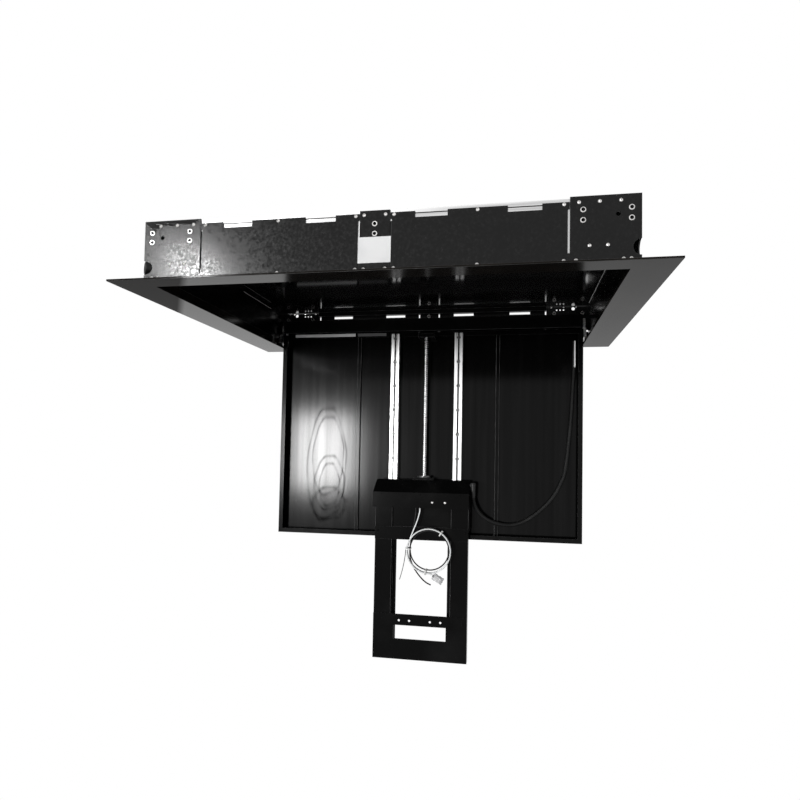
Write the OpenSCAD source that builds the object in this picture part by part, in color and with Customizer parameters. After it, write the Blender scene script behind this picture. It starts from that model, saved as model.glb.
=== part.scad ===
// Ceiling flip-down television lift.
// A shallow housing sits above a ceiling cut-out and hangs on its flange. A flap closes the
// opening from below. It swings down on two pivots at the rear, and a carriage then runs down
// the flap on two guide rails, driven by a lead screw, and carries the television bracket.
// Frame: +X to the right, +Y to the rear, +Z up. Z = 0 is the flange's upper face, which
// seats under the ceiling. X = 0 and Y = 0 are the middle of the opening.
// The model is drawn with the flap down and the carriage at its lowest.

/* [Flange and opening] */
// Clear width of the opening
opening_w = 760; // [680:1:900]
// Clear depth of the opening
opening_d = 515; // [505:1:600]
// Width of the flange's two side strips
flange_side = 63.5; // [40:0.5:90]
// Width of the flange's front strip
flange_front = 36; // [28:1:60]
// Width of the flange's rear strip
flange_rear = 21; // [14:1:50]
// Thickness of the flange plate
flange_t = 3; // [2:0.5:4]
// Height of the upstand inside the walls
upstand_h = 19; // [14:1:24]
// Thickness of the upstand
upstand_t = 2; // [1.5:0.5:2.5]

/* [Housing walls] */
// Height of the corner plates above the seat
wall_h = 101.5; // [100:0.5:120]
// Thickness of the wall sheet
wall_t = 2; // [1.5:0.5:2.5]
// Depth of the flange's groove that the walls stand in
wall_groove = 0.5; // [0.3:0.1:1]
// Opening edge to the outer face of the front wall
front_set = 15; // [12:1:20]
// Opening edge to the outer face of the rear wall
rear_set = 7; // [6.5:0.5:12]
// Opening edge to the outer face of a side wall
side_set = 12.5; // [12:0.5:15]
// Width of a corner plate
corner_w = 100; // [95:1:110]
// Width of a centre plate
centre_w = 48; // [44:1:60]
// Drop of the centre plates below the corner plates
centre_drop = 3; // [1:0.5:6]
// Height of the long covers
cover_h = 94; // [91:0.5:97]
// Seam between neighbouring plates
seam = 0.4; // [0.2:0.1:0.8]
// Width of the upright slits at the cover ends
slit_w = 2.6; // [2:0.2:4]
// Lower end of the slits above the seat
slit_low = 12; // [10:1:20]
// Upper end of the slits above the seat
slit_high = 84; // [70:1:86]
// Width of a notch in a cover's top edge
notch_w = 50; // [30:1:60]
// Depth of a notch in a cover's top edge
notch_deep = 9.5; // [6:0.5:12]
// Depth of a notch in a rear cover's top edge
rear_notch_deep = 16; // [11.5:0.5:17]
// Inner end of a cover to its first notch, as a share of the cover's length
notch_first = 0.2376; // [0.2:0.0001:0.27]
// Distance between the two notches of a cover, as a share of its length
notch_pitch = 0.523; // [0.37:0.001:0.56]
// Radius of the cable notch at each corner
cable_r = 12; // [8:0.5:14]
// Height of the cable notch's centre
cable_z = 24; // [22:1:40]

/* [Top rails and lid] */
// Depth of the aluminium top rails
top_rail_d = 12; // [10:1:16]
// Height of the front top rail
front_rail_h = 18; // [14:1:20]
// Height of the rear top rail
rear_rail_h = 16.5; // [8.5:0.5:17.5]
// Drop of the top rails below the corner plates
rail_drop = 2; // [1:0.5:3]
// Thickness of the lid sheet
lid_t = 1.5; // [1:0.1:2]
// Depth of the lid's groove in a top rail
lid_groove = 5; // [3:0.5:7]
// Height of the lid's groove above its sheet
lid_play = 0.2; // [0.1:0.1:0.4]

/* [Wall fasteners] */
// Radius of a wall screw's head
head_r = 2.9; // [2:0.1:3.2]
// Height of a wall screw's head
head_h = 2; // [1:0.1:3]
// Radius of a wall screw's shank
shank_r = 1.6; // [1:0.1:1.8]
// Outer radius of a rivet nut's rim
nut_rim_r = 4.2; // [4:0.1:5]
// Radius of a rivet nut's body
nut_body_r = 3.8; // [3.4:0.1:3.9]
// Radius of a rivet nut's threaded bore
nut_bore_r = 2.5; // [2:0.1:2.8]
// Thickness of a rivet nut's rim
nut_rim_t = 0.8; // [0.5:0.1:1.5]
// Length of a rivet nut's body
nut_len = 9; // [6:0.5:12]
// Distance between the two nut columns of a corner plate
nut_span = 67.4; // [60:0.2:70]
// Distance between the two nuts of a column
nut_pitch = 15.4; // [12:0.2:18]

/* [Hinge and flip drive] */
// Hinge axis in front of the opening's rear edge
hinge_inset = 22.5; // [22:0.5:26]
// Height of the hinge axis above the seat
hinge_z = 11.5; // [11:0.5:13]
// Radius of a pivot pin
pin_r = 5; // [4:0.5:5.5]
// Thickness of the plate behind a pivot pin
pin_plate_t = 3; // [2:0.5:5]
// Outer radius of a hinge bush
bush_r = 8; // [7:0.5:9]
// Radius of a hinge bracket's eye
eye_r = 13; // [11:0.5:14]
// Thickness of a hinge bracket
hinge_plate_t = 5.4; // [4:0.2:5.4]
// Tooth module of the flip gears
gear_m = 1.5; // [1.4:0.05:1.5]
// Teeth on a full turn of a sector gear
sector_teeth = 30; // [28:2:30]
// Teeth on a drive pinion
pinion_teeth = 16; // [16:2:18]
// Thickness of a sector gear
sector_t = 5; // [4:0.5:5]
// Side gap between a pinion and the flap
pinion_gap = 0.6; // [0.4:0.1:1]
// Radius of a pinion's shaft
pinion_shaft_r = 3; // [2:0.25:4]
// Direction of the pinion from the hinge, from +Y towards +Z
pinion_dir = 80; // [78:1:84]
// Front face of the drive cover in front of the hinge axis
cover_ahead = 13; // [10:0.5:15]
// Height of the drive cover
drive_cover_h = 31.5; // [31:0.5:40]
// Thickness of the drive cover sheet
drive_cover_t = 1.5; // [1:0.1:2]
// Side of the square flip gearbox
gearbox_s = 27; // [24:0.5:27.5]
// Length of a flip gearbox
gearbox_len = 34; // [25:1:50]
// Radius of a flip motor
flip_motor_r = 13; // [10:0.5:13]
// Length of a flip motor
flip_motor_len = 52; // [30:1:80]
// Length of the control box
control_len = 120; // [80:1:200]
// Depth of the control box
control_d = 30; // [20:1:34]
// Height of the control box
control_h = 24; // [15:1:27]

/* [Flap] */
// Gap between the flap and the opening's side and front edges
flap_gap = 3; // [2:0.5:5]
// Rise of the flap above the hinge axis
flap_rise = 18.5; // [17.5:0.5:19]
// Depth of the flap's tray
tray_depth = 22; // [20:0.5:24]
// Thickness of the tray sheet
tray_t = 2; // [1.5:0.5:2.5]
// Width of the tray's turned-in lips
lip_w = 10.5; // [8:0.5:14]
// Distance of a stiffener from the centre line
stiffener_x = 176; // [140:1:220]
// Width of a stiffener
stiffener_w = 9; // [6:1:16]
// Height of a stiffener
stiffener_h = 5; // [3:0.5:10]
// Distance of the cable duct from the flap's side
duct_inset = 19; // [17:1:40]
// Width of the cable duct
duct_w = 6; // [5:0.5:12]
// Length of the cable duct
duct_len = 64; // [40:1:80]

/* [Guide rails] */
// Distance of a guide rail from the centre line
guide_x = 80; // [78:1:82]
// Width of a guide rail
guide_w = 20; // [18:0.5:22]
// Height of a guide rail
guide_h = 17.5; // [16:0.5:18]
// Pitch of the guide rail's screws
guide_pitch = 60; // [50:1:60]
// Radius of the rail screws' counterbore
counterbore_r = 4.75; // [4.5:0.25:5.5]
// Depth of the rail screws' counterbore
counterbore_deep = 8.5; // [6:0.5:10]
// Radius of the rail screws' shank
rail_shank_r = 2.5; // [2:0.25:3]
// Radius of the ball groove in a rail's side
ball_groove_r = 2; // [1.5:0.1:2.5]
// Running gap between a slider block and its rail
slider_gap = 0.3; // [0.2:0.05:0.4]
// Width of a slider block
block_w = 44; // [40:1:46]
// Length of a slider block
block_len = 50; // [40:1:52]
// Gap between the two blocks on a rail
block_step = 10; // [6:1:12]
// Height of a block's top above the tray floor
block_top = 30; // [29:0.5:32]
// Gap between a block and the tray floor
block_lift = 4.6; // [3:0.2:6]

/* [Lead screw] */
// Distance of the screw axis from the tray floor
screw_off = 20; // [19:0.5:21]
// Radius of the lead screw
screw_r = 5; // [4:0.25:5.5]
// Radius of the screw's journals and drive stub
journal_r = 3.5; // [3:0.25:3.75]
// Running clearance of shafts, pins and the nut
run_gap = 0.05; // [0.02:0.01:0.1]
// Gap of pieces that are pushed together
seat_gap = 0.02; // [0.01:0.01:0.03]
// Radius of the screw motor
screw_motor_r = 18; // [14:0.5:18]
// Length of the screw motor
screw_motor_len = 74; // [50:1:75]
// Radius of the shaft coupling
coupling_r = 9; // [7:0.5:9]
// Length of the shaft coupling
coupling_len = 24; // [18:1:26]
// Height of the top bearing block
bearing_h = 8; // [6:1:12]
// Width of the top bearing block
bearing_w = 40; // [30:1:60]
// Radius of the nut's body
nut_r = 9.5; // [8:0.25:9.75]
// Radius of the nut's flange
nut_flange_r = 17; // [14:0.5:18]
// Length of the nut's body under its flange
nut_body_len = 25; // [15:1:26]

/* [Carriage and bracket] */
// Top of the carriage above the flap's lower edge, with the carriage down
carriage_top = 142; // [138:1:148]
// Height of the carriage plate
carriage_h = 122; // [122:1:130]
// Thickness of the carriage plate
carriage_t = 6; // [4:0.5:8]
// Height of the carriage plate's bridge over the motor
bridge_h = 32; // [24:1:32]
// Half width of the carriage plate's cut-out
cutout_x = 30; // [26:1:40]
// Outer width of the bracket
bracket_w = 226; // [214:1:228]
// Depth of the bracket's side channels
channel_d = 17; // [12:0.5:18]
// Web width of a side channel
channel_web = 41.5; // [36:0.5:42]
// Width of a side channel's inner lip
channel_lip = 9; // [6:0.5:10]
// Thickness of the bracket sheet
bracket_t = 2; // [1.5:0.5:2.5]
// Lower end of the bracket below the carriage's top
bracket_low = 426; // [409:1:434]
// Top of the crossbar below the carriage's top
crossbar_top = 113; // [109:1:119]
// Height of the crossbar
crossbar_h = 30; // [20:1:40]
// Height of the lower plate
lower_plate_h = 106; // [104:1:112]
// Drop of the hole row below the lower plate's top edge
hole_drop = 15; // [12:1:18]
// Distance between the outer two television holes
vesa_wide = 100; // [100:1:104]
// Distance between the inner two television holes
vesa_narrow = 50; // [40:1:60]
// Radius of the television holes
vesa_r = 2.7; // [2.5:0.1:3.5]
// Width of the window in the lower plate
window_w = 126; // [100:1:130]
// Height of the window in the lower plate
window_h = 32; // [20:1:36]
// Drop of the window below the lower plate's top edge
window_drop = 26; // [24:1:30]

/* [Hood] */
// Reach of the hood in front of the carriage plate
hood_reach = 37; // [30:1:40]
// Fall of the hood's sloping roof
hood_fall = 29; // [20:1:36]
// Height of the hood's front face
hood_face = 36; // [28:1:40]
// Thickness of the hood sheet
hood_t = 1.6; // [1:0.1:2]
// Side gap between the hood and the bracket
hood_gap = 0.4; // [0.2:0.1:0.8]

/* [Cables] */
// Outer diameter of the ribbed conduit
conduit_d = 10; // [9:0.5:11]
// Bore of the ribbed conduit
conduit_bore = 6.6; // [5:0.2:6.8]
// Number of ribs on the conduit
conduit_ribs = 120; // [60:1:150]
// Depth of a conduit rib
rib_deep = 0.9; // [0.5:0.1:1]
// Sag of the conduit below its gland
conduit_sag = 79; // [60:1:90]
// Diameter of the two television cables
cable_d = 3.2; // [3:0.1:3.4]
// Radius of the pale cable's coil
pale_r = 51.5; // [50:0.5:56]
// Radius of the black cable's coil
black_r = 46.5; // [40:0.5:47]
// Step of the coils from turn to turn
coil_step = 3.9; // [3.8:0.1:4.2]

/* [Hidden] */
$fn = 40;

// Cut overshoot, so that no cut ends on a face
over = 1;

black_coat = [0.05, 0.05, 0.055];
bare_alu = [0.78, 0.79, 0.8];
zinc = [0.72, 0.72, 0.7];
steel = [0.6, 0.61, 0.62];
bronze = [0.62, 0.45, 0.22];
dark_plastic = [0.1, 0.1, 0.11];
white_plastic = [0.9, 0.9, 0.88];
pale_cable = [0.75, 0.75, 0.74];

// Housing planes
edge_x = opening_w / 2;
edge_y = opening_d / 2;
box_x = edge_x + side_set;
front_y = -edge_y - front_set;
rear_y = edge_y + rear_set;
inner_x = box_x - wall_t;
inner_front = front_y + wall_t;
inner_rear = rear_y - wall_t;
rail_top = wall_h - rail_drop;
// The lid's groove stands this far below the top of a rail
groove_drop = 5.5;
lid_z = rail_top - groove_drop;

// Plate edges along X
corner_in = box_x - corner_w;
cover_in = centre_w / 2 + seam;
cover_out = corner_in - seam;
function notch_x(k) = cover_in + (notch_first + k * notch_pitch) * (cover_out - cover_in);

// Wall screw rows. Each is [x, z] on the right-hand half
low_row = 7;
top_row = wall_h - 9;
centre_top = wall_h - centre_drop;
cover_row = cover_h - 3.5;
mid_row = 28;
edge_in = 14;
corner_screws = [
    for (share = [0.127, 0.417, 0.712]) [corner_in + share * corner_w, top_row],
    for (share = [0.277, 0.532]) [corner_in + share * corner_w, mid_row],
    for (share = [0.087, 0.75, 0.855]) [corner_in + share * corner_w, low_row]
];
// The long cover's screws, at its two ends and its middle
cover_mid = (cover_in + cover_out) / 2;
cover_screws = [
    [cover_in + 6, cover_row], [cover_mid, cover_row], [cover_out - 8, cover_row],
    [cover_in + 6, low_row], [cover_mid, low_row], [cover_out - 8, low_row]
];
centre_screw_x = 17;
centre_screws = [[centre_screw_x, centre_top - 7], [centre_screw_x, low_row]];

// Rivet nuts. The rear plates carry one row, between the lid and the drive cover
front_nut_z = 81.5;
rear_nut_z = 77;
centre_nut_z = 77.5;
nut_out = box_x - edge_in;
function corner_nuts(top_z, rows) = [
    for (x = [nut_out, nut_out - nut_span]) for (k = [0:rows - 1]) [x, top_z - k * nut_pitch]
];
function centre_nuts(rows) = [for (k = [0:rows - 1]) [0, centre_nut_z - k * nut_pitch]];
front_rows = 2;
rear_rows = 1;

// Plain holes in the corner plates, [x, z, radius]
front_holes = [[box_x - 0.325 * corner_w, 73, 3.5], [box_x - 0.665 * corner_w, low_row, 2]];
rear_holes = [
    [box_x - 0.355 * corner_w, 89, 4],
    for (share = [0.585, 0.667, 0.749]) [box_x - share * corner_w, 86.5, 1.8]
];

// Blank label on the front centre plate
label_w = 52;
label_h = 40.6;
label_t = 0.4;
label_z = 16.3;

// Hinge, gears and drive
hinge_y = edge_y - hinge_inset;
sector_r = gear_m * sector_teeth / 2;
pinion_r = gear_m * pinion_teeth / 2;
gear_gap = 0.12;
centre_dist = sector_r + pinion_r;
pinion_y = hinge_y + centre_dist * cos(pinion_dir);
pinion_z = hinge_z + centre_dist * sin(pinion_dir);
addendum = 0.9 * gear_m;
dedendum = 1.2 * gear_m;
pressure = 20;

// Flap planes
flap_x = edge_x - flap_gap;
tray_back = hinge_y + hinge_z + flange_t;
tray_floor = tray_back - tray_t;
tray_front = tray_back - tray_depth;
tray_top = hinge_z + flap_rise;
tray_low = hinge_z - (hinge_y + edge_y - flap_gap);
tray_in_top = tray_top - tray_t;
tray_in_low = tray_low + tray_t;

// Drive cover across the rear, clear of the swinging flap
cover_front = hinge_y - cover_ahead;
cover_low = hinge_z + norm([flap_rise, tray_front - hinge_y]) + 1.5;
cover_x = flap_x - 2;
motor_y = pinion_y;
motor_z = cover_low + drive_cover_t + 0.4 + gearbox_s / 2;

// Hinge stack along X
hinge_in = inner_x - upstand_t - hinge_plate_t;

// Guide rails
guide_top = tray_in_top - 0.5;
guide_len = guide_top - tray_in_low - 1;
rail_room = 2;
guide_screws = floor((guide_len - 16) / guide_pitch) + 1;
guide_end = (guide_len - (guide_screws - 1) * guide_pitch) / 2;
guide_front = tray_floor - guide_h;
ball_y = tray_floor - guide_h * 0.55;

// Carriage planes
plate_back = tray_floor - block_top;
plate_front = plate_back - carriage_t;
channel_front = plate_front - channel_d;
bracket_front = channel_front - bracket_t;
bracket_x = bracket_w / 2;
hood_x = bracket_x + hood_gap + hood_t;
hood_front = plate_front - hood_reach;
carriage_z = tray_low + carriage_top;
hood_edge = carriage_z - hood_fall;
hood_low = hood_edge - hood_face;
block_high = carriage_z - 7;
channel_in = bracket_x - channel_web;
// The channels and the panel between them reach up inside the hood
channel_top = hood_low + 21;
bracket_end = carriage_z - bracket_low;
crossbar_z = carriage_z - crossbar_top;
plate_high = bracket_end + lower_plate_h;
vesa_z = plate_high - hole_drop;

// Lead screw stack along Z
screw_y = tray_floor - screw_off;
shelf_t = 5;
nut_flange_t = 5;
shelf_top = carriage_z + shelf_t;
nut_low = shelf_top - nut_body_len;
motor_plate_t = 4;
// The motor stands just above the tray's lower lip, and the coupling above its plate
motor_room = 1.5;
coupling_room = 3;
stub_len = 14;
motor_low = tray_low + lip_w + motor_room;
motor_plate_low = motor_low + screw_motor_len;
coupling_low = motor_plate_low + motor_plate_t + coupling_room;
coupling_top = coupling_low + coupling_len;
// The bearing stays low enough to swing under the drive cover
bearing_drop = 6;
bearing_top = tray_top - bearing_drop;
bearing_low = bearing_top - bearing_h;
bearing_front = screw_y - journal_r - 4.5;

// Cables
duct_top = hinge_z - 7;
duct_low = duct_top - duct_len;
duct_x = flap_x - duct_inset;
conduit_y = tray_floor - conduit_d / 2 - 0.5;
gland_len = 22;
gland_r = 6.5;
gland_x = hood_x + gland_r + 1;
gland_y = plate_front - 10;
gland_drop = 26;
gland_low = carriage_z - gland_drop;
black_y = bracket_front - cable_d / 2 - 2.25;
pale_y = black_y - 2 * coil_step;
coil_x = 22;
coil_drop = 100;
coil_z = hood_low - coil_drop;
pale_turns = 2.25;
black_turns = 1;

// Box between two corners
module block(low, high) {
    translate(low) cube(high - low);
}

// Profile in X and Z, given a thickness from y to y + t
module upright(y, t) {
    translate([0, y + t, 0]) rotate([90, 0, 0]) linear_extrude(t) children();
}

// Profile in Y and Z, given a thickness from x to x + t
module sideways(x, t) {
    translate([x, 0, 0]) rotate([90, 0, 90]) linear_extrude(t) children();
}

// Rod along X from x to x + len
module rod_x(x, y, z, r, len) {
    translate([x, y, z]) rotate([0, 90, 0]) cylinder(r = r, h = len);
}

// Rod along Y from y to y + len
module rod_y(x, y, z, r, len) {
    translate([x, y + len, z]) rotate([90, 0, 0]) cylinder(r = r, h = len);
}

// Rod along Z from z to z + len
module rod_z(x, y, z, r, len) {
    translate([x, y, z]) cylinder(r = r, h = len);
}

module mirrored_pair() {
    children();
    mirror([1, 0, 0]) children();
}

module holes_2d(points, r) {
    for (p = points) translate([p[0], p[1]]) circle(r);
}

// Flange

// The cable notches also clear the upstand's corners
module corner_reliefs() {
    reach = cable_r + 2;
    mirrored_pair() {
        block([inner_x - reach, inner_front - over, cable_z - reach],
              [box_x, inner_front + reach, wall_h]);
        block([inner_x - reach, inner_rear - reach, cable_z - reach],
              [box_x, inner_rear + over, wall_h]);
    }
}

module flange_frame() {
    color(black_coat) difference() {
        union() {
            block([-edge_x - flange_side, -edge_y - flange_front, -flange_t],
                  [edge_x + flange_side, edge_y + flange_rear, 0]);
            difference() {
                block([-inner_x, inner_front, -flange_t], [inner_x, inner_rear, upstand_h]);
                corner_reliefs();
            }
        }
        block([-inner_x + upstand_t, inner_front + upstand_t, 0],
              [inner_x - upstand_t, inner_rear - upstand_t, upstand_h + over]);
        block([-edge_x, -edge_y, -flange_t - over], [edge_x, edge_y, over]);
        difference() {
            block([-box_x, front_y, -wall_groove], [box_x, rear_y, over]);
            block([-inner_x, inner_front, -flange_t], [inner_x, inner_rear, 2 * over]);
        }
    }
}

// Walls, drawn as right-hand profiles and mirrored for the left

module cover_2d(deep) {
    difference() {
        translate([cover_in, -wall_groove])
            square([cover_out - cover_in, cover_h + wall_groove]);
        for (k = [0, 1])
            translate([notch_x(k) - notch_w / 2, cover_h - deep]) square([notch_w, deep + over]);
        for (x = [cover_in - over, cover_out - slit_w])
            translate([x, slit_low]) square([slit_w + over, slit_high - slit_low]);
        holes_2d(cover_screws, shank_r + seat_gap);
    }
}

module corner_2d(nut_z, rows, plain_holes) {
    difference() {
        translate([corner_in, -wall_groove]) square([corner_w, wall_h + wall_groove]);
        translate([box_x, cable_z]) circle(cable_r);
        holes_2d(corner_screws, shank_r + seat_gap);
        holes_2d(corner_nuts(nut_z, rows), nut_body_r + seat_gap);
        for (h = plain_holes) translate([h[0], h[1]]) circle(h[2]);
    }
}

module centre_2d(nuts) {
    difference() {
        translate([-centre_w / 2, -wall_groove]) square([centre_w, centre_top + wall_groove]);
        holes_2d(nuts, nut_body_r + seat_gap);
        mirrored_pair() holes_2d(centre_screws, shank_r + seat_gap);
    }
}

module front_cover_right() { color(black_coat) upright(front_y, wall_t) cover_2d(notch_deep); }
module front_cover_left() { mirror([1, 0, 0]) front_cover_right(); }
module rear_cover_right() { color(black_coat) upright(inner_rear, wall_t) cover_2d(rear_notch_deep); }
module rear_cover_left() { mirror([1, 0, 0]) rear_cover_right(); }

module front_corner_right() {
    color(black_coat) upright(front_y, wall_t) corner_2d(front_nut_z, front_rows, front_holes);
}
module front_corner_left() { mirror([1, 0, 0]) front_corner_right(); }

module rear_corner_right() {
    color(black_coat) upright(inner_rear, wall_t) corner_2d(rear_nut_z, rear_rows, rear_holes);
}
module rear_corner_left() { mirror([1, 0, 0]) rear_corner_right(); }

module front_centre_plate() {
    color(black_coat) upright(front_y, wall_t) centre_2d(centre_nuts(front_rows));
}
module rear_centre_plate() {
    color(black_coat) upright(inner_rear, wall_t) centre_2d(centre_nuts(rear_rows));
}

module side_wall_right() {
    color(black_coat) sideways(inner_x, wall_t) difference() {
        translate([inner_front, -wall_groove])
            square([inner_rear - inner_front, wall_h + wall_groove]);
        for (y = [inner_front, inner_rear]) translate([y, cable_z]) circle(cable_r);
    }
}
module side_wall_left() { mirror([1, 0, 0]) side_wall_right(); }

// Top rails and lid

module lid_slot(y0, y1) {
    block([-box_x, y0, lid_z], [box_x, y1, lid_z + lid_t + lid_play]);
}

module front_top_rail() {
    back = inner_front + top_rail_d;
    // A shallow groove runs along the rail's outer face
    face_groove_h = 1.6;
    face_groove_z = cover_h - 3;
    color(bare_alu) difference() {
        block([-inner_x, inner_front, rail_top - front_rail_h], [inner_x, back, rail_top]);
        lid_slot(back - lid_groove, back + over);
        block([-box_x, inner_front - over, face_groove_z],
              [box_x, inner_front + lid_groove / 2, face_groove_z + face_groove_h]);
        front_nut_room();
    }
}

module rear_top_rail() {
    face = inner_rear - top_rail_d;
    color(bare_alu) difference() {
        block([-cover_out, face, rail_top - rear_rail_h], [cover_out, inner_rear, rail_top]);
        lid_slot(face - over, face + lid_groove);
    }
}

// Room in the front rail for the rivet nuts' bodies
module front_nut_room() {
    room_r = nut_body_r + 0.6;
    mirrored_pair() for (p = corner_nuts(front_nut_z, front_rows))
        rod_y(p[0], inner_front - over, p[1], room_r, nut_len + over);
    for (p = centre_nuts(front_rows)) rod_y(p[0], inner_front - over, p[1], room_r, nut_len + over);
}

// Posts behind the slits of the front covers, from the upstand to the front rail
post_w = 10;
post_d = 6;
module frame_posts() {
    color(bare_alu) mirrored_pair() for (x = [cover_in + slit_w / 2, cover_out - slit_w / 2])
        block([x - post_w / 2, inner_front, upstand_h],
              [x + post_w / 2, inner_front + post_d, rail_top - front_rail_h]);
}

module top_lid() {
    gap = 0.5;
    color(black_coat)
        block([-inner_x + gap, inner_front + top_rail_d - lid_groove + gap, lid_z],
              [inner_x - gap, inner_rear - top_rail_d + lid_groove - gap, lid_z + lid_t]);
}

// Wall fasteners

module wall_screw(p, face, out) {
    head_y = out < 0 ? face - head_h : face;
    shank_y = out < 0 ? face : face - wall_t;
    rod_y(p[0], head_y, p[1], head_r, head_h);
    rod_y(p[0], shank_y, p[1], shank_r, wall_t);
}

module wall_screws() {
    color(zinc) for (s = [[front_y, -1], [rear_y, 1]])
        mirrored_pair() for (p = concat(corner_screws, cover_screws, centre_screws))
            wall_screw(p, s[0], s[1]);
}

module rivet_nut(p, face, out) {
    rim_y = out < 0 ? face - nut_rim_t : face;
    body_y = out < 0 ? face : face - nut_len;
    difference() {
        union() {
            rod_y(p[0], rim_y, p[1], nut_rim_r, nut_rim_t);
            rod_y(p[0], body_y, p[1], nut_body_r, nut_len);
        }
        rod_y(p[0], min(rim_y, body_y) - over, p[1], nut_bore_r, nut_len + nut_rim_t + 2 * over);
    }
}

module rivet_nuts() {
    color(zinc) for (s = [[front_y, -1, front_nut_z, front_rows], [rear_y, 1, rear_nut_z, rear_rows]]) {
        mirrored_pair() for (p = corner_nuts(s[2], s[3])) rivet_nut(p, s[0], s[1]);
        for (p = centre_nuts(s[3])) rivet_nut(p, s[0], s[1]);
    }
}

module blank_label() {
    color(white_plastic)
        block([-label_w / 2, front_y - label_t, label_z], [label_w / 2, front_y, label_z + label_h]);
}

// Hinges and flip drive

module hinge_bracket() {
    difference() {
        union() {
            rod_x(hinge_in, hinge_y, hinge_z, eye_r, hinge_plate_t);
            block([hinge_in, hinge_y - eye_r, 0], [hinge_in + hinge_plate_t, hinge_y + eye_r, hinge_z]);
        }
        rod_x(hinge_in - over, hinge_y, hinge_z, bush_r + seat_gap, hinge_plate_t + 2 * over);
        block([hinge_in - over, hinge_y - 2 * eye_r, -2 * eye_r],
              [hinge_in + hinge_plate_t + over, hinge_y + 2 * eye_r, 0]);
    }
}
module hinge_brackets() { color(black_coat) mirrored_pair() hinge_bracket(); }

module hinge_bush() {
    difference() {
        rod_x(hinge_in, hinge_y, hinge_z, bush_r, hinge_plate_t);
        rod_x(hinge_in - over, hinge_y, hinge_z, pin_r + run_gap, hinge_plate_t + 2 * over);
    }
}
module hinge_bushes() { color(bronze) mirrored_pair() hinge_bush(); }

// A closed channel across the rear hides the flip motors
module drive_cover() {
    top = cover_low + drive_cover_h;
    t = drive_cover_t;
    color(black_coat) difference() {
        block([-cover_x, cover_front, cover_low], [cover_x, inner_rear, top]);
        block([-cover_x + t, cover_front + t, cover_low + t], [cover_x - t, inner_rear + over, top - t]);
        rod_x(-box_x, pinion_y, pinion_z, pinion_shaft_r + 1, 2 * box_x);
    }
}

module flip_motor() {
    face_x = cover_x - drive_cover_t;
    difference() {
        union() {
            block([face_x - gearbox_len, motor_y - gearbox_s / 2, motor_z - gearbox_s / 2],
                  [face_x, motor_y + gearbox_s / 2, motor_z + gearbox_s / 2]);
            rod_x(face_x - gearbox_len - flip_motor_len, motor_y, motor_z, flip_motor_r, flip_motor_len);
        }
        rod_x(face_x - gearbox_len / 2, pinion_y, pinion_z, pinion_shaft_r + run_gap, gearbox_len);
    }
}
module flip_motors() { color(steel) mirrored_pair() flip_motor(); }

module control_box() {
    floor_z = cover_low + drive_cover_t;
    color(dark_plastic)
        block([-control_len / 2, cover_front + drive_cover_t, floor_z],
              [control_len / 2, cover_front + drive_cover_t + control_d, floor_z + control_h]);
}

// Involute gears. A tooth is centred on the first axis
function inv_deg(a) = tan(a) * 180 / PI - a;
function flank_deg(r, r_pitch, teeth) =
    90 / teeth - gear_gap / r_pitch * 180 / PI + inv_deg(pressure)
    - inv_deg(acos(min(1, r_pitch * cos(pressure) / r)));
function on_circle(r, a) = [r * cos(a), r * sin(a)];
function tooth(teeth, turn) =
    let (rp = gear_m * teeth / 2,
         root = rp - dedendum,
         tip = rp + addendum,
         steps = 4,
         radii = concat([root], [for (k = [0:steps]) let (low = max(root + 0.1, rp * cos(pressure)))
                 low + (tip - low) * k / steps]))
    concat([for (r = radii) on_circle(r, turn - flank_deg(max(r, rp * cos(pressure)), rp, teeth))],
           [for (k = [len(radii) - 1:-1:0])
               on_circle(radii[k], turn + flank_deg(max(radii[k], rp * cos(pressure)), rp, teeth))]);

module gear_2d(teeth, first, last) {
    polygon(concat(
        last - first + 1 < teeth ? [[0, 0]] : [],
        [for (k = [first:last]) each tooth(teeth, k * 360 / teeth)]));
}

// The sector covers the quarter turn from open to closed, with a tooth to spare at each end
module sector_gear() {
    spare = 1;
    last = ceil(90 / (360 / sector_teeth)) + spare;
    hub_r = pin_r + 5;
    translate([flap_x, hinge_y, hinge_z]) rotate([90, 0, 90]) difference() {
        union() {
            linear_extrude(sector_t) rotate(pinion_dir) gear_2d(sector_teeth, -spare, last);
            cylinder(r = hub_r, h = sector_t);
        }
        translate([0, 0, -over]) cylinder(r = pin_r + seat_gap, h = sector_t + 2 * over);
    }
}
module sector_gears() { color(steel) mirrored_pair() sector_gear(); }

module drive_pinion_right() {
    face_x = flap_x + pinion_gap;
    shaft_x = cover_x - drive_cover_t - gearbox_len / 3;
    half_pitch = 180 / pinion_teeth;
    color(steel) {
        translate([face_x, pinion_y, pinion_z]) rotate([90, 0, 90])
            linear_extrude(sector_t - pinion_gap)
                rotate(pinion_dir + 180 + half_pitch) gear_2d(pinion_teeth, 0, pinion_teeth - 1);
        rod_x(shaft_x, pinion_y, pinion_z, pinion_shaft_r, face_x - shaft_x);
    }
}
module drive_pinion_left() { mirror([1, 0, 0]) drive_pinion_right(); }

module pivot_pin() {
    head_x = flap_x - tray_t;
    half_h = pin_r + 4.5;
    block([head_x - pin_plate_t, tray_front + tray_t + 0.3, hinge_z - half_h],
          [head_x, tray_floor, hinge_z + half_h]);
    rod_x(head_x, hinge_y, hinge_z, pin_r, inner_x - upstand_t - seat_gap - head_x);
}
module pivot_pins() { color(steel) mirrored_pair() pivot_pin(); }

// Flap

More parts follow.
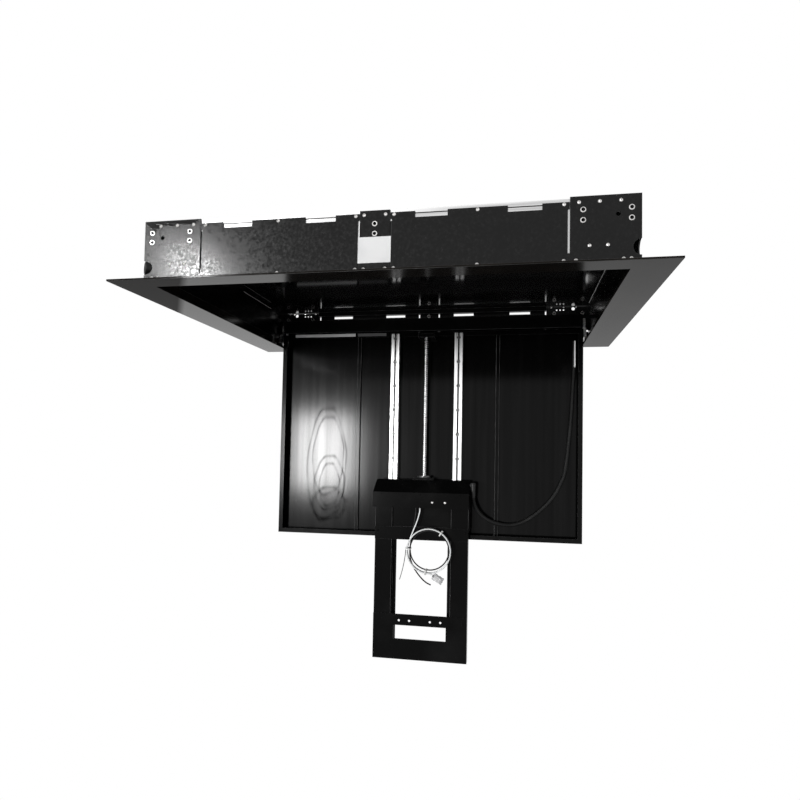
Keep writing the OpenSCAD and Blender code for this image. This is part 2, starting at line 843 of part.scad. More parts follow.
module flap_tray() {
    color(black_coat) difference() {
        block([-flap_x, tray_front, tray_low], [flap_x, tray_back, tray_top]);
        block([-flap_x + tray_t, tray_front + tray_t, tray_in_low],
              [flap_x - tray_t, tray_floor, tray_in_top]);
        block([-flap_x + lip_w, tray_front - over, tray_low + lip_w],
              [flap_x - lip_w, tray_floor, tray_top - lip_w]);
        rod_x(-box_x, hinge_y, hinge_z, pin_r + seat_gap, 2 * box_x);
        // The upper lip is open over the guide rails and the bearing block
        mirrored_pair() lip_gap(guide_x, guide_w / 2 + rail_room);
        lip_gap(0, bearing_w / 2 + rail_room);
    }
}

module lip_gap(x, half_w) {
    block([x - half_w, tray_front - over, tray_top - lip_w - over],
          [x + half_w, tray_floor, tray_in_top]);
}

module stiffener() {
    wall = 1.5;
    x0 = stiffener_x - stiffener_w / 2;
    difference() {
        block([x0, tray_floor - stiffener_h, tray_in_low + 2],
              [x0 + stiffener_w, tray_floor, tray_in_top - 2]);
        block([x0 + wall, tray_floor - stiffener_h + wall, tray_in_low],
              [x0 + stiffener_w - wall, tray_floor + over, tray_in_top]);
    }
}
module tray_stiffeners() { color(black_coat) mirrored_pair() stiffener(); }

function screw_z(k) = guide_top - guide_end - k * guide_pitch;

module guide_rail() {
    x0 = guide_x - guide_w / 2;
    slot_w = 4;
    slot_deep = 1;
    difference() {
        block([x0, guide_front, guide_top - guide_len], [x0 + guide_w, tray_floor, guide_top]);
        block([guide_x - slot_w / 2, guide_front - over, guide_top - guide_len - over],
              [guide_x + slot_w / 2, guide_front + slot_deep, guide_top + over]);
        for (x = [x0, x0 + guide_w])
            rod_z(x, ball_y, guide_top - guide_len - over, ball_groove_r, guide_len + 2 * over);
        for (k = [0:guide_screws - 1]) {
            rod_y(guide_x, guide_front - over, screw_z(k), counterbore_r, counterbore_deep + over);
            rod_y(guide_x, guide_front, screw_z(k), rail_shank_r + seat_gap, guide_h + over);
        }
    }
}
module guide_rails() { color(bare_alu) mirrored_pair() guide_rail(); }

module rail_screws() {
    seat = guide_front + counterbore_deep;
    cap_h = 5;
    cap_r = counterbore_r - 0.5;
    key_r = 2;
    color(steel) mirrored_pair() for (k = [0:guide_screws - 1]) difference() {
        union() {
            rod_y(guide_x, seat - cap_h, screw_z(k), cap_r, cap_h);
            rod_y(guide_x, seat, screw_z(k), rail_shank_r, tray_floor - seat);
        }
        rod_y(guide_x, seat - cap_h - over, screw_z(k), key_r, cap_h / 2 + over);
    }
}

module screw_motor() {
    boss_r = 6;
    color(dark_plastic) difference() {
        union() {
            rod_z(0, screw_y, motor_low, screw_motor_r, screw_motor_len);
            rod_z(0, screw_y, motor_plate_low, boss_r, motor_plate_t / 2);
        }
        rod_z(0, screw_y, motor_plate_low - 20, journal_r + run_gap, 20 + motor_plate_t);
    }
}

module motor_bracket() {
    half_w = screw_motor_r + 6;
    foot_h = 40;
    foot_t = 3;
    hole_r = coupling_r + 2;
    color(black_coat) {
        difference() {
            block([-half_w, screw_y - screw_motor_r, motor_plate_low],
                  [half_w, tray_floor, motor_plate_low + motor_plate_t]);
            rod_z(0, screw_y, motor_plate_low - over, hole_r, motor_plate_t + 2 * over);
        }
        mirrored_pair()
            block([screw_motor_r + 1, tray_floor - foot_t, motor_plate_low - foot_h],
                  [half_w, tray_floor, motor_plate_low]);
    }
}

module bearing_block() {
    color(bare_alu) difference() {
        block([-bearing_w / 2, bearing_front, bearing_low], [bearing_w / 2, tray_floor, bearing_top]);
        rod_z(0, screw_y, bearing_low - over, journal_r + run_gap, bearing_h + 2 * over);
    }
}

module cable_duct() {
    wall = 1;
    front = conduit_y - duct_w / 2;
    x0 = duct_x - duct_w / 2;
    color(white_plastic) difference() {
        block([x0, front, duct_low], [x0 + duct_w, tray_floor, duct_top]);
        block([x0 + wall, front + wall, duct_low + wall],
              [x0 + duct_w - wall, tray_floor + over, duct_top + over]);
    }
}

// Lead screw

module lead_screw() {
    thread_low = coupling_top;
    thread_top = bearing_low - 1;
    color(steel) union() {
        rod_z(0, screw_y, thread_low, screw_r, thread_top - thread_low);
        rod_z(0, screw_y, thread_top, journal_r, bearing_top - thread_top);
        rod_z(0, screw_y, coupling_low + coupling_len / 2, journal_r, coupling_len / 2);
    }
}

module shaft_coupling() {
    stub_low = motor_plate_low - stub_len;
    half = coupling_len / 2;
    color(bare_alu) {
        difference() {
            rod_z(0, screw_y, coupling_low, coupling_r, coupling_len);
            rod_z(0, screw_y, coupling_low + half, journal_r + seat_gap, half + over);
        }
        rod_z(0, screw_y, stub_low, journal_r, coupling_low - stub_low);
    }
}

// Carriage

block_x0 = guide_x - block_w / 2;
function block_z(k) = block_high - k * (block_len + block_step);

module carriage_plate() {
    low = carriage_z - carriage_h;
    color(black_coat) difference() {
        block([-hood_x, plate_front, low], [hood_x, plate_back, carriage_z]);
        block([-cutout_x, plate_front - over, low - over],
              [cutout_x, plate_back + over, carriage_z - bridge_h]);
        mirrored_pair() for (p = block_bolts()) rod_y(p[0], plate_front - over, p[1],
            block_bolt_r + seat_gap, carriage_t + 2 * over);
    }
}

// Bolts from the carriage plate into the slider blocks
block_bolt_r = 2.5;
function block_bolts() = [
    for (k = [0, 1]) for (x = [8, 24]) for (z = [-1, 1])
        [channel_in + x, block_z(k) - block_len / 2 + z * block_len * 0.32]
];

module slider_block(k) {
    high = block_z(k);
    half_slot = guide_w / 2 + slider_gap;
    low_y = tray_floor - block_lift;
    difference() {
        block([block_x0, plate_back, high - block_len], [block_x0 + block_w, low_y, high]);
        block([guide_x - half_slot, guide_front - slider_gap, high - block_len - over],
              [guide_x + half_slot, low_y + over, high + over]);
    }
    // Ball rows stand into the rail's side grooves
    for (s = [-1, 1]) intersection() {
        rod_z(guide_x + s * guide_w / 2, ball_y, high - block_len,
              ball_groove_r - slider_gap, block_len);
        block([guide_x - half_slot - over, guide_front, high - block_len],
              [guide_x + half_slot + over, low_y, high]);
    }
}
module slider_blocks() { color(steel) mirrored_pair() for (k = [0, 1]) slider_block(k); }

module nut_bracket() {
    half_w = nut_flange_r + 8;
    back = screw_y + nut_flange_r - 1;
    color(black_coat) difference() {
        block([-half_w, plate_front, carriage_z], [half_w, back, shelf_top]);
        rod_z(0, screw_y, carriage_z - over, nut_r + seat_gap, shelf_t + 2 * over);
    }
}

module screw_nut() {
    screw_ring = (nut_r + nut_flange_r) / 2;
    color(bronze) difference() {
        union() {
            rod_z(0, screw_y, nut_low, nut_r, nut_body_len);
            rod_z(0, screw_y, shelf_top, nut_flange_r, nut_flange_t);
        }
        rod_z(0, screw_y, nut_low - over, screw_r + run_gap, nut_body_len + nut_flange_t + 2 * over);
        for (a = [45:90:315])
            rod_z(screw_ring * cos(a), screw_y + screw_ring * sin(a), shelf_top - over, 1.6,
                  nut_flange_t + 2 * over);
    }
}

// Sheet hood over the motor, with a sloping roof and two cheeks
function roof_z(y) = carriage_z - hood_fall * (plate_front - y) / hood_reach;
module hood() {
    drop = hood_t * norm([hood_reach, hood_fall]) / hood_reach;
    inside = hood_front + hood_t;
    color(black_coat) difference() {
        sideways(-hood_x, 2 * hood_x) polygon([
            [plate_front, roof_z(plate_front)], [hood_front, hood_edge],
            [hood_front, hood_low], [plate_front, hood_low]]);
        sideways(-hood_x + hood_t, 2 * (hood_x - hood_t)) polygon([
            [plate_front + over, roof_z(plate_front + over) - drop], [inside, roof_z(inside) - drop],
            [inside, hood_low - over], [plate_front + over, hood_low - over]]);
        for (p = hood_screws) rod_y(p[0], hood_front - over, p[1], p[2] / 2 + seat_gap, hood_t + 2 * over);
    }
}
// The hood's screws as [x, z, head radius]. The shank has half the head's radius
hood_screws = [
    [28.6, hood_low + 14, 2.7], [58.8, hood_low + 14, 2.7],
    for (x = [-1, 0, 1]) [x * (hood_x - 20), hood_edge - 4.5, 1.8]
];

module bracket_channel_right() {
    high = channel_top;
    t = bracket_t;
    color(black_coat) {
        block([channel_in, channel_front, bracket_end], [bracket_x, channel_front + t, high]);
        block([bracket_x - t, channel_front + t, bracket_end], [bracket_x, plate_front, high]);
        block([channel_in, channel_front + t, bracket_end], [channel_in + t, plate_front, high]);
        block([channel_in - channel_lip, plate_front - t, bracket_end], [channel_in, plate_front, high]);
    }
}
module bracket_channel_left() { mirror([1, 0, 0]) bracket_channel_right(); }

module centre_panel() {
    panel_y = channel_front + 6;
    color(black_coat)
        block([-channel_in, panel_y, crossbar_z], [channel_in, panel_y + bracket_t, channel_top]);
}

// Screws of the crossbar and the lower plate, on the right-hand half
bracket_screw_r = 1.5;
crossbar_screw = [bracket_x - 7.5, crossbar_z - 10];
plate_screw = [bracket_x - 11, vesa_z];

module crossbar() {
    color(black_coat) upright(bracket_front, bracket_t) difference() {
        translate([-bracket_x, crossbar_z - crossbar_h]) square([bracket_w, crossbar_h]);
        mirrored_pair() holes_2d([crossbar_screw], bracket_screw_r + seat_gap);
    }
}

// Plate with the television holes and the lower window
module lower_plate() {
    color(black_coat) upright(bracket_front, bracket_t) difference() {
        translate([-bracket_x, bracket_end]) square([bracket_w, lower_plate_h]);
        translate([-window_w / 2, plate_high - window_drop - window_h]) square([window_w, window_h]);
        mirrored_pair() holes_2d([[vesa_wide / 2, vesa_z], [vesa_narrow / 2, vesa_z]], vesa_r);
        mirrored_pair() holes_2d([plate_screw], bracket_screw_r + seat_gap);
    }
}

module carriage_screws() {
    color(zinc) {
        mirrored_pair() for (p = block_bolts()) {
            rod_y(p[0], plate_front - 3, p[1], block_bolt_r + 1.6, 3);
            rod_y(p[0], plate_front, p[1], block_bolt_r, carriage_t);
        }
        for (p = hood_screws) {
            rod_y(p[0], hood_front - p[2] / 2, p[1], p[2], p[2] / 2);
            rod_y(p[0], hood_front, p[1], p[2] / 2, hood_t);
        }
        mirrored_pair() for (p = [crossbar_screw, plate_screw]) {
            rod_y(p[0], bracket_front - 1.2, p[1], 2 * bracket_screw_r, 1.2);
            rod_y(p[0], bracket_front, p[1], bracket_screw_r, bracket_t);
        }
    }
}

// Cables

function sub_path(p, n) = [
    for (i = [0:len(p) - 2]) for (k = [0:n - 1]) spline(p, i, k / n)
];
// Smooth curve through the route's points
function spline(p, i, t) =
    let (a = p[max(i - 1, 0)], b = p[i], c = p[i + 1], d = p[min(i + 2, len(p) - 1)])
    0.5 * (2 * b + (c - a) * t + (2 * a - 5 * b + 4 * c - d) * t * t
           + (3 * b - a - 3 * c + d) * t * t * t);
function smooth(p, n) = concat(sub_path(p, n), [p[len(p) - 1]]);
function run_lengths(p) = [
    for (i = 0, s = 0; i < len(p); i = i + 1,
         s = i < len(p) ? s + norm(p[i] - p[i - 1]) : s) s
];
// Points at even steps along a path
function even_points(p, n) =
    let (s = run_lengths(p), total = s[len(s) - 1],
         tables = [for (a = [0:2]) [for (i = [0:len(p) - 1]) [s[i], p[i][a]]]])
    [for (k = [0:n]) [for (a = [0:2]) lookup(total * k / n, tables[a])]];
function along(p, i) =
    let (v = p[min(i + 1, len(p) - 1)] - p[max(i - 1, 0)]) v / norm(v);
// The routes never run along Y, so Y fixes the ring's turn. The end rings are square to their ends
function ring(c, t, r, sides) =
    let (n = cross(t, [0, 1, 0]), u = n / norm(n), v = cross(u, t))
    [for (k = [0:sides - 1]) let (a = 360 * k / sides) c + r * (cos(a) * u + sin(a) * v)];
function skin(rings, sides, from) = [
    for (i = [0:rings - 2]) for (k = [0:sides - 1])
        let (a = from + i * sides + k, b = from + i * sides + (k + 1) % sides)
        each [[a, b, b + sides], [a, b + sides, a + sides]]
];
function flip(faces) = [for (f = faces) [f[2], f[1], f[0]]];
function cap(sides, from) = [for (k = [1:sides - 2]) [from, from + k + 1, from + k]];
function tangents(p, first, last) = [
    for (i = [0:len(p) - 1]) i == 0 && first != undef ? first
        : i == len(p) - 1 && last != undef ? last : along(p, i)
];

// Plain tube along points
module tube(p, r, sides, first, last) {
    t = tangents(p, first, last);
    n = len(p);
    points = [for (i = [0:n - 1]) each ring(p[i], t[i], r, sides)];
    polyhedron(points, concat(skin(n, sides, 0), cap(sides, 0), flip(cap(sides, (n - 1) * sides))));
}

// Ribbed hose with a bore. Each rib is a crest ring and a valley ring
module ribbed_hose(p, ribs, crest, valley, bore, sides, first, last) {
    outer = even_points(p, 2 * ribs);
    inner = even_points(p, ribs / 2);
    t = tangents(outer, first, last);
    w = tangents(inner, first, last);
    n = len(outer);
    m = len(inner);
    base = n * sides;
    points = concat(
        [for (i = [0:n - 1]) each ring(outer[i], t[i], i % 2 == 0 ? valley : crest, sides)],
        [for (i = [0:m - 1]) each ring(inner[i], w[i], bore, sides)]);
    ends = [for (k = [0:sides - 1]) let (j = (k + 1) % sides)
        each [[k, base + j, j], [k, base + k, base + j]]];
    far_o = (n - 1) * sides;
    far_i = base + (m - 1) * sides;
    far_ends = [for (k = [0:sides - 1]) let (j = (k + 1) % sides)
        each [[far_o + k, far_o + j, far_i + j], [far_o + k, far_i + j, far_i + k]]];
    polyhedron(points, concat(skin(n, sides, 0), flip(skin(m, sides, base)), ends, far_ends));
}

// Route of the conduit from the gland on the hood to the duct on the flap. Each point is a share of
// the way in X and in Y, and in Z a share of the sag below the gland or of the rise to the duct
conduit_shape = [
    [0, 0, 0], [0.002, 0.042, -0.203], [0.021, 0.208, -0.43], [0.068, 0.403, -0.658],
    [0.139, 0.625, -0.835], [0.241, 0.819, -0.962], [0.367, 0.958, -1], [0.489, 1, -0.911],
    [0.612, 1, -0.684], [0.73, 1, -0.367], [0.814, 1, -0.051], [0.873, 1, 0.074],
    [0.911, 1, 0.154], [0.937, 1, 0.289], [0.954, 1, 0.419], [0.975, 1, 0.624],
    [0.989, 1, 0.836], [1, 1, 1]
];
function between(a, b, share) = a + (b - a) * share;
conduit_route = [for (p = conduit_shape) [
    between(gland_x, duct_x, p[0]), between(gland_y, conduit_y, p[1]),
    gland_low + p[2] * (p[2] < 0 ? conduit_sag : duct_low - gland_low)]];

module conduit() {
    rings_per_point = 12;
    sides = 8;
    color(dark_plastic)
        ribbed_hose(smooth(conduit_route, rings_per_point), conduit_ribs, conduit_d / 2,
                    conduit_d / 2 - rib_deep, conduit_bore / 2, sides, [0, 0, -1], [0, 0, 1]);
}

// Glands on the hood, one for the conduit and one for the two cables
pale_start = [-2, black_y - 3.5, hood_low];
black_start = [-12, black_y, hood_low];
module cable_glands() {
    inside = hood_front + hood_t;
    color(dark_plastic) {
        difference() {
            union() {
                rod_z(gland_x, gland_y, gland_low, gland_r, gland_len);
                block([hood_x, gland_y - gland_r / 2, gland_low + 4],
                      [gland_x, gland_y + gland_r / 2, gland_low + gland_len - 2]);
            }
            rod_z(gland_x, gland_y, gland_low - over, conduit_bore / 2, gland_len - 4);
        }
        block([black_start[0] - 14, inside, hood_low], [pale_start[0] + 14, black_y + 5, hood_low + 12]);
    }
}

// Coil of a cable in turns beside each other, from its left side downwards
coil_rings = 24;
function coil_y(y, a) = y - coil_step * (a - 180) / 360;
function coil_point(r, y, a) = [coil_x + r * cos(a), coil_y(y, a), coil_z + r * sin(a)];
function coil_points(r, y, turns) =
    let (n = ceil(turns * coil_rings)) [for (k = [0:n]) coil_point(r, y, 180 + 360 * turns * k / n)];
function last_of(p) = p[len(p) - 1];

// Least gap of a coil to its own neighbouring turn, measured on its points
function least_gap(p, d, turns) =
    let (per_turn = (len(p) - 1) / turns)
    min([for (i = [0:len(p) - 1]) for (j = [i:len(p) - 1])
        if (j - i > per_turn / 2) norm(p[i] - p[j]) - d]);

pale_points = coil_points(pale_r, pale_y, pale_turns);
black_points = coil_points(black_r, black_y, black_turns);
echo(pale_coil_gap = least_gap(pale_points, cable_d, pale_turns));
echo(black_coil_gap = least_gap(black_points, cable_d, black_turns));

// Leads from the gland to the coils, as shares of the way
lead_shape = [
    [0, 0, 0], [0.03, 0.06, 0.12], [0.25, 0.4, 0.34], [0.66, 0.85, 0.64], [0.94, 1, 0.86], [1, 1, 1]
];
function lead_route(a, b) = [for (p = lead_shape) [for (k = [0:2]) between(a[k], b[k], p[k])]];

lead_sides = 8;
coil_sides = 6;
lead_steps = 4;
down = [0, 0, -1];
pale_end = last_of(pale_points);
black_end = last_of(black_points);

// Free ends below the coils, as offsets from the coil's end
plug_tilt = 30;
plug_dir = [cos(plug_tilt), 0, -sin(plug_tilt)];
pale_tail_route = [for (p = [[0, 0, 0], [5.5, 0, -0.9], [11, 0, -4]]) pale_end + p];
black_tail_route = [for (p = [[0, 0, 0], [1.5, 0, -20], [10.5, 0, -42], [24.5, 0, -61], [38.5, 0, -74],
    [51.5, 0, -80.5]]) black_end + p];

module pale_lead() {
    color(pale_cable)
        tube(smooth(lead_route(pale_start, pale_points[0]), lead_steps),
             cable_d / 2, lead_sides, down, down);
}
module pale_coil() {
    color(pale_cable) tube(pale_points, cable_d / 2, coil_sides, down, [1, 0, 0]);
}
module pale_tail() {
    color(pale_cable)
        tube(smooth(pale_tail_route, lead_steps), cable_d / 2, lead_sides, [1, 0, 0], plug_dir);
}
module black_lead() {
    color(dark_plastic)
        tube(smooth(lead_route(black_start, black_points[0]), lead_steps),
             cable_d / 2, lead_sides, down, down);
}
module black_coil() {
    color(dark_plastic) tube(black_points, cable_d / 2, coil_sides, down, down);
}
module black_tail() {
    color(dark_plastic)
        tube(smooth(black_tail_route, lead_steps), cable_d / 2, lead_sides, down, undef);
}

// Plug on the pale cable's end
module cable_connector() {
    plug_len = 18;
    plug_d = 9;
    plug_h = 11;
    neck_len = 5;
    neck_r = cable_d / 2 + 0.6;
    color(white_plastic) translate(last_of(pale_tail_route)) rotate([0, plug_tilt, 0]) {
        rod_x(0, 0, 0, neck_r, neck_len);
        translate([neck_len, -plug_d / 2, -plug_h / 2]) cube([plug_len, plug_d, plug_h]);
    }
}

// Ties round both coils, the first with its long tail left on
tie_angles = [176, 56, 262];
tie_tail_len = 75;
module tie(a, tail_len) {
    band_w = 3.2;
    band_t = 0.9;
    room = 0.4;
    half = cable_d / 2 + room;
    low_r = black_r - half;
    high_r = pale_r + half;
    last_pass = a + 360 * floor((180 + 360 * pale_turns - a) / 360);
    y0 = coil_y(pale_y, last_pass) - half;
    y1 = black_y + half;
    translate([coil_x, 0, coil_z]) rotate([0, -a, 0]) translate([0, 0, -band_w / 2]) {
        linear_extrude(band_w) difference() {
            translate([low_r - band_t, y0 - band_t])
                square([high_r - low_r + 2 * band_t, y1 - y0 + 2 * band_t]);
            translate([low_r, y0]) square([high_r - low_r, y1 - y0]);
        }
        if (tail_len > 0) translate([high_r + band_t, (y0 + y1) / 2, 0])
            block([0, -band_w / 2, 0], [band_t, band_w / 2, tail_len]);
    }
}
module cable_ties() {
    color(white_plastic) for (k = [0:len(tie_angles) - 1]) tie(tie_angles[k], k == 0 ? tie_tail_len : 0);
}

flange_frame();
front_cover_left();
front_cover_right();
front_corner_left();
front_corner_right();
front_centre_plate();
rear_cover_left();
rear_cover_right();
rear_corner_left();
rear_corner_right();
rear_centre_plate();
side_wall_left();
side_wall_right();
top_lid();
front_top_rail();
rear_top_rail();
frame_posts();
wall_screws();
rivet_nuts();
blank_label();
hinge_brackets();
hinge_bushes();
drive_cover();
flip_motors();
control_box();
drive_pinion_left();
drive_pinion_right();
flap_tray();
tray_stiffeners();
guide_rails();
rail_screws();
pivot_pins();
sector_gears();
screw_motor();
motor_bracket();
bearing_block();
cable_duct();
conduit();
lead_screw();
shaft_coupling();
carriage_plate();
slider_blocks();
screw_nut();
nut_bracket();
hood();
bracket_channel_left();
bracket_channel_right();
centre_panel();
crossbar();
lower_plate();
carriage_screws();
cable_glands();
pale_lead();
pale_coil();
pale_tail();
black_lead();
black_coil();
black_tail();
cable_connector();
cable_ties();
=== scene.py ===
# %% [markdown]
# # A ceiling lift for a television
# The lift hangs in a ceiling: a black housing with a flange, a flap that swings down, and a
# carriage that runs down the flap with the television's bracket. The rigid sheets come from the
# CAD model and only get finishes here. Soft and fine things, such as cables, threads and screw
# heads, are modelled in this file.

# %% Load the frame
import math

import bmesh
import bpy
from mathutils import Matrix, Vector


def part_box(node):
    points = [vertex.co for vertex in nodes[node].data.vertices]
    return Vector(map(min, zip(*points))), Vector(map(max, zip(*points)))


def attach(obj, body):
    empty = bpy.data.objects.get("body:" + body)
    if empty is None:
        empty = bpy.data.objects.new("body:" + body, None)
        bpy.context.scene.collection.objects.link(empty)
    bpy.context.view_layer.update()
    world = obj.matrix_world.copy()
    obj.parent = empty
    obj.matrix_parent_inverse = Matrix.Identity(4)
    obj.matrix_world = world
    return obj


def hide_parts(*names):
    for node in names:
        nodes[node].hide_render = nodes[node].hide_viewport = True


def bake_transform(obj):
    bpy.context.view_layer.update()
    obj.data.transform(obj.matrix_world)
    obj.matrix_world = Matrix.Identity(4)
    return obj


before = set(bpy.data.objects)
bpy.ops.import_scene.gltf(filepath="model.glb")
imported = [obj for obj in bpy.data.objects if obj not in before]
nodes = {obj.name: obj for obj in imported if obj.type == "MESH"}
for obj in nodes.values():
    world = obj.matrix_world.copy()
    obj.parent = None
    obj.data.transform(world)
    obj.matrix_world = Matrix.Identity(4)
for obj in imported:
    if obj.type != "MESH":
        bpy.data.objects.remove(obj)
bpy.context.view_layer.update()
scene = bpy.context.scene

# %% [markdown]
# ## Camera
# The photograph looks up into the housing from below and in front, a little from the right. The
# camera could be aimed with a constraint, but its turn is written straight into its matrix from the
# three angles.

# %% Camera
CAMERA_PLACE = (0.21335, -1.03784, -0.28116)
YAW_PITCH_ROLL = (8.96, 2.11, 0.97)
SENSOR_MM, FOCAL_MM, SHIFT = 36, 23.4, (-0.0381, 0.0478)
yaw, pitch, roll = (math.radians(angle) for angle in YAW_PITCH_ROLL)
forward = Vector((-math.sin(yaw) * math.cos(pitch), math.cos(yaw) * math.cos(pitch), math.sin(pitch)))
level = Vector((math.cos(yaw), math.sin(yaw), 0))
upward = level.cross(forward)
right = math.cos(roll) * level + math.sin(roll) * upward
up = math.cos(roll) * upward - math.sin(roll) * level
lens = bpy.data.cameras.new("camera")
lens.sensor_width, lens.lens = SENSOR_MM, FOCAL_MM
lens.shift_x, lens.shift_y = SHIFT
camera = bpy.data.objects.new("camera", lens)
camera.matrix_world = Matrix.Translation(CAMERA_PLACE) @ (
    Matrix((right, up, -forward)).transposed().to_4x4())
scene.collection.objects.link(camera)
scene.camera = camera
scene.view_settings.view_transform = "Standard"
print("camera at", [round(x, 3) for x in camera.location])

# %% [markdown]
# ## Room
# The object hangs in front of plain white. More light could make a white room, but it would wash
# out the black coating. So a Light Path node lets the world and the floor show white to the camera
# and in reflections, while they give the object only soft, plain light.

# %% Room
WORLD_LIGHT, WORLD_TINT, WHITE = 0.28, (0.97, 0.985, 1, 1), (1, 1, 1, 1)
FLOOR_Z, FLOOR_HALF, FLOOR_GREY, FLOOR_ROUGH = -1.6, 9, (0.86, 0.86, 0.86, 1), 0.9


def calc(tree, operation, *sockets):
    """The result of a Math node that is fed by the given sockets."""
    node = tree.nodes.new("ShaderNodeMath")
    node.operation = operation
    for given, socket in zip(node.inputs, sockets):
        tree.links.new(socket, given)
    return node.outputs[0]


def white_behind(tree, lit, white, out):
    """Shows white to the camera, straight or through gloss and glass, and a lit shader to other rays."""
    rays = tree.nodes.new("ShaderNodeLightPath").outputs
    seen = calc(tree, "MAXIMUM", rays["Is Camera Ray"], rays["Is Glossy Ray"])
    seen = calc(tree, "MAXIMUM", seen, rays["Is Transmission Ray"])
    both = tree.nodes.new("ShaderNodeMixShader")
    tree.links.new(seen, both.inputs["Fac"])
    tree.links.new(lit.outputs[0], both.inputs[1])
    tree.links.new(white.outputs[0], both.inputs[2])
    tree.links.new(both.outputs[0], out.inputs["Surface"])


world = bpy.data.worlds.new("room")
scene.world = world
world.use_nodes = True
tree = world.node_tree
soft_light = tree.nodes["Background"]
soft_light.inputs["Color"].default_value = WORLD_TINT
soft_light.inputs["Strength"].default_value = WORLD_LIGHT
white = tree.nodes.new("ShaderNodeBackground")
white.inputs["Color"].default_value = WHITE
white_behind(tree, soft_light, white, tree.nodes["World Output"])

bm = bmesh.new()
bmesh.ops.create_grid(bm, x_segments=1, y_segments=1, size=FLOOR_HALF)
bmesh.ops.translate(bm, verts=bm.verts, vec=(0, 0, FLOOR_Z))
floor_mesh = bpy.data.meshes.new("floor")
bm.to_mesh(floor_mesh)
bm.free()
floor = bpy.data.objects.new("floor", floor_mesh)
scene.collection.objects.link(floor)
floor_paint = bpy.data.materials.new("pale_floor")
floor_paint.use_nodes = True
tree = floor_paint.node_tree
paint = tree.nodes["Principled BSDF"]
paint.inputs["Base Color"].default_value = FLOOR_GREY
paint.inputs["Roughness"].default_value = FLOOR_ROUGH
white_behind(tree, paint, tree.nodes.new("ShaderNodeEmission"), tree.nodes["Material Output"])
floor_mesh.materials.append(floor_paint)
print("room: world light", WORLD_LIGHT, "and a floor at", FLOOR_Z)

# %% [markdown]
# ## Lamps
# Black coating is seen mostly by what it mirrors, so a tall window lamp at the left gives the flap
# its pale glow, and a smaller one above it lights the left corner. Both stand far off, because a
# lamp's mirror image then stays where it is wanted, and its light on everything else stays weak.
# A weak third lamp adds a little light from the right.

# %% Lamps
def lamp(name, place, target, width, height, watts):
    light = bpy.data.lights.new(name, "AREA")
    light.shape, light.size, light.size_y, light.energy = "RECTANGLE", width, height, watts
    obj = bpy.data.objects.new(name, light)
    aim = Vector(target) - Vector(place)
    obj.matrix_world = Matrix.Translation(place) @ aim.to_track_quat("-Z", "Y").to_matrix().to_4x4()
    scene.collection.objects.link(obj)
    print(name, watts, "W")


lamp("window_lamp", (-3.353, -8, -0.213), (-0.267, 0.2475, -0.272), width=1.05, height=1.38, watts=540)
lamp("wall_lamp", (-4.546, -6.608, 2.425), (-0.299, -0.273, 0.01), width=0.4, height=0.4, watts=125)
lamp("side_lamp", (1.9, -1.6, 0.5), (0.1, 0, -0.2), width=1.2, height=1.2, watts=4)

# %% [markdown]
# ## Route of the conduit
# A ribbed conduit hangs from the gland on the carriage to the duct on the flap. Its route repeats
# the points of the CAD source, because this script can't read it. Each point is a share of the way
# from gland to duct, and below the gland a share of the sag. A smooth curve through the points keeps
# every bend round.

# %% Route of the conduit
MM = 0.001
GLAND = Vector((122.5, 201.5, -362)) * MM
DUCT = Vector((358, 242, -59.5)) * MM
SAG, CONDUIT_BENDS = 79 * MM, 12
CONDUIT_SHAPE = [
    (0, 0, 0), (.002, .042, -.203), (.021, .208, -.43), (.068, .403, -.658), (.139, .625, -.835),
    (.241, .819, -.962), (.367, .958, -1), (.489, 1, -.911), (.612, 1, -.684), (.73, 1, -.367),
    (.814, 1, -.051), (.873, 1, .074), (.911, 1, .154), (.937, 1, .289), (.954, 1, .419),
    (.975, 1, .624), (.989, 1, .836), (1, 1, 1)]


def smooth(points, steps):
    """Points on a smooth curve through the given ones."""
    points = [Vector(p) for p in points]
    last = len(points) - 1
    made = []
    for i in range(last):
        a, b, c, d = points[max(i - 1, 0)], points[i], points[i + 1], points[min(i + 2, last)]
        for k in range(steps):
            t = k / steps
            made.append(0.5 * (2 * b + (c - a) * t + (2 * a - 5 * b + 4 * c - d) * t ** 2
                               + (3 * b - a - 3 * c + d) * t ** 3))
    return made + [points[last]]


def run_length(points):
    return sum((b - a).length for a, b in zip(points, points[1:]))


conduit_route = smooth([
    (GLAND.x + (DUCT.x - GLAND.x) * x, GLAND.y + (DUCT.y - GLAND.y) * y,
     GLAND.z + z * (SAG if z < 0 else DUCT.z - GLAND.z)) for x, y, z in CONDUIT_SHAPE], CONDUIT_BENDS)
print("conduit route", round(run_length(conduit_route), 4), "m,", len(conduit_route), "points")

# %% [markdown]
# ## Routes of the two cables
# Below the hood a pale and a black cable lie in one coil. Each leaves the hood, runs to the coil's
# left side, goes round, and ends in a loose tail. The coil is worked out turn by turn, each turn in
# front of the last, so that the turns lie side by side as on the real coil.

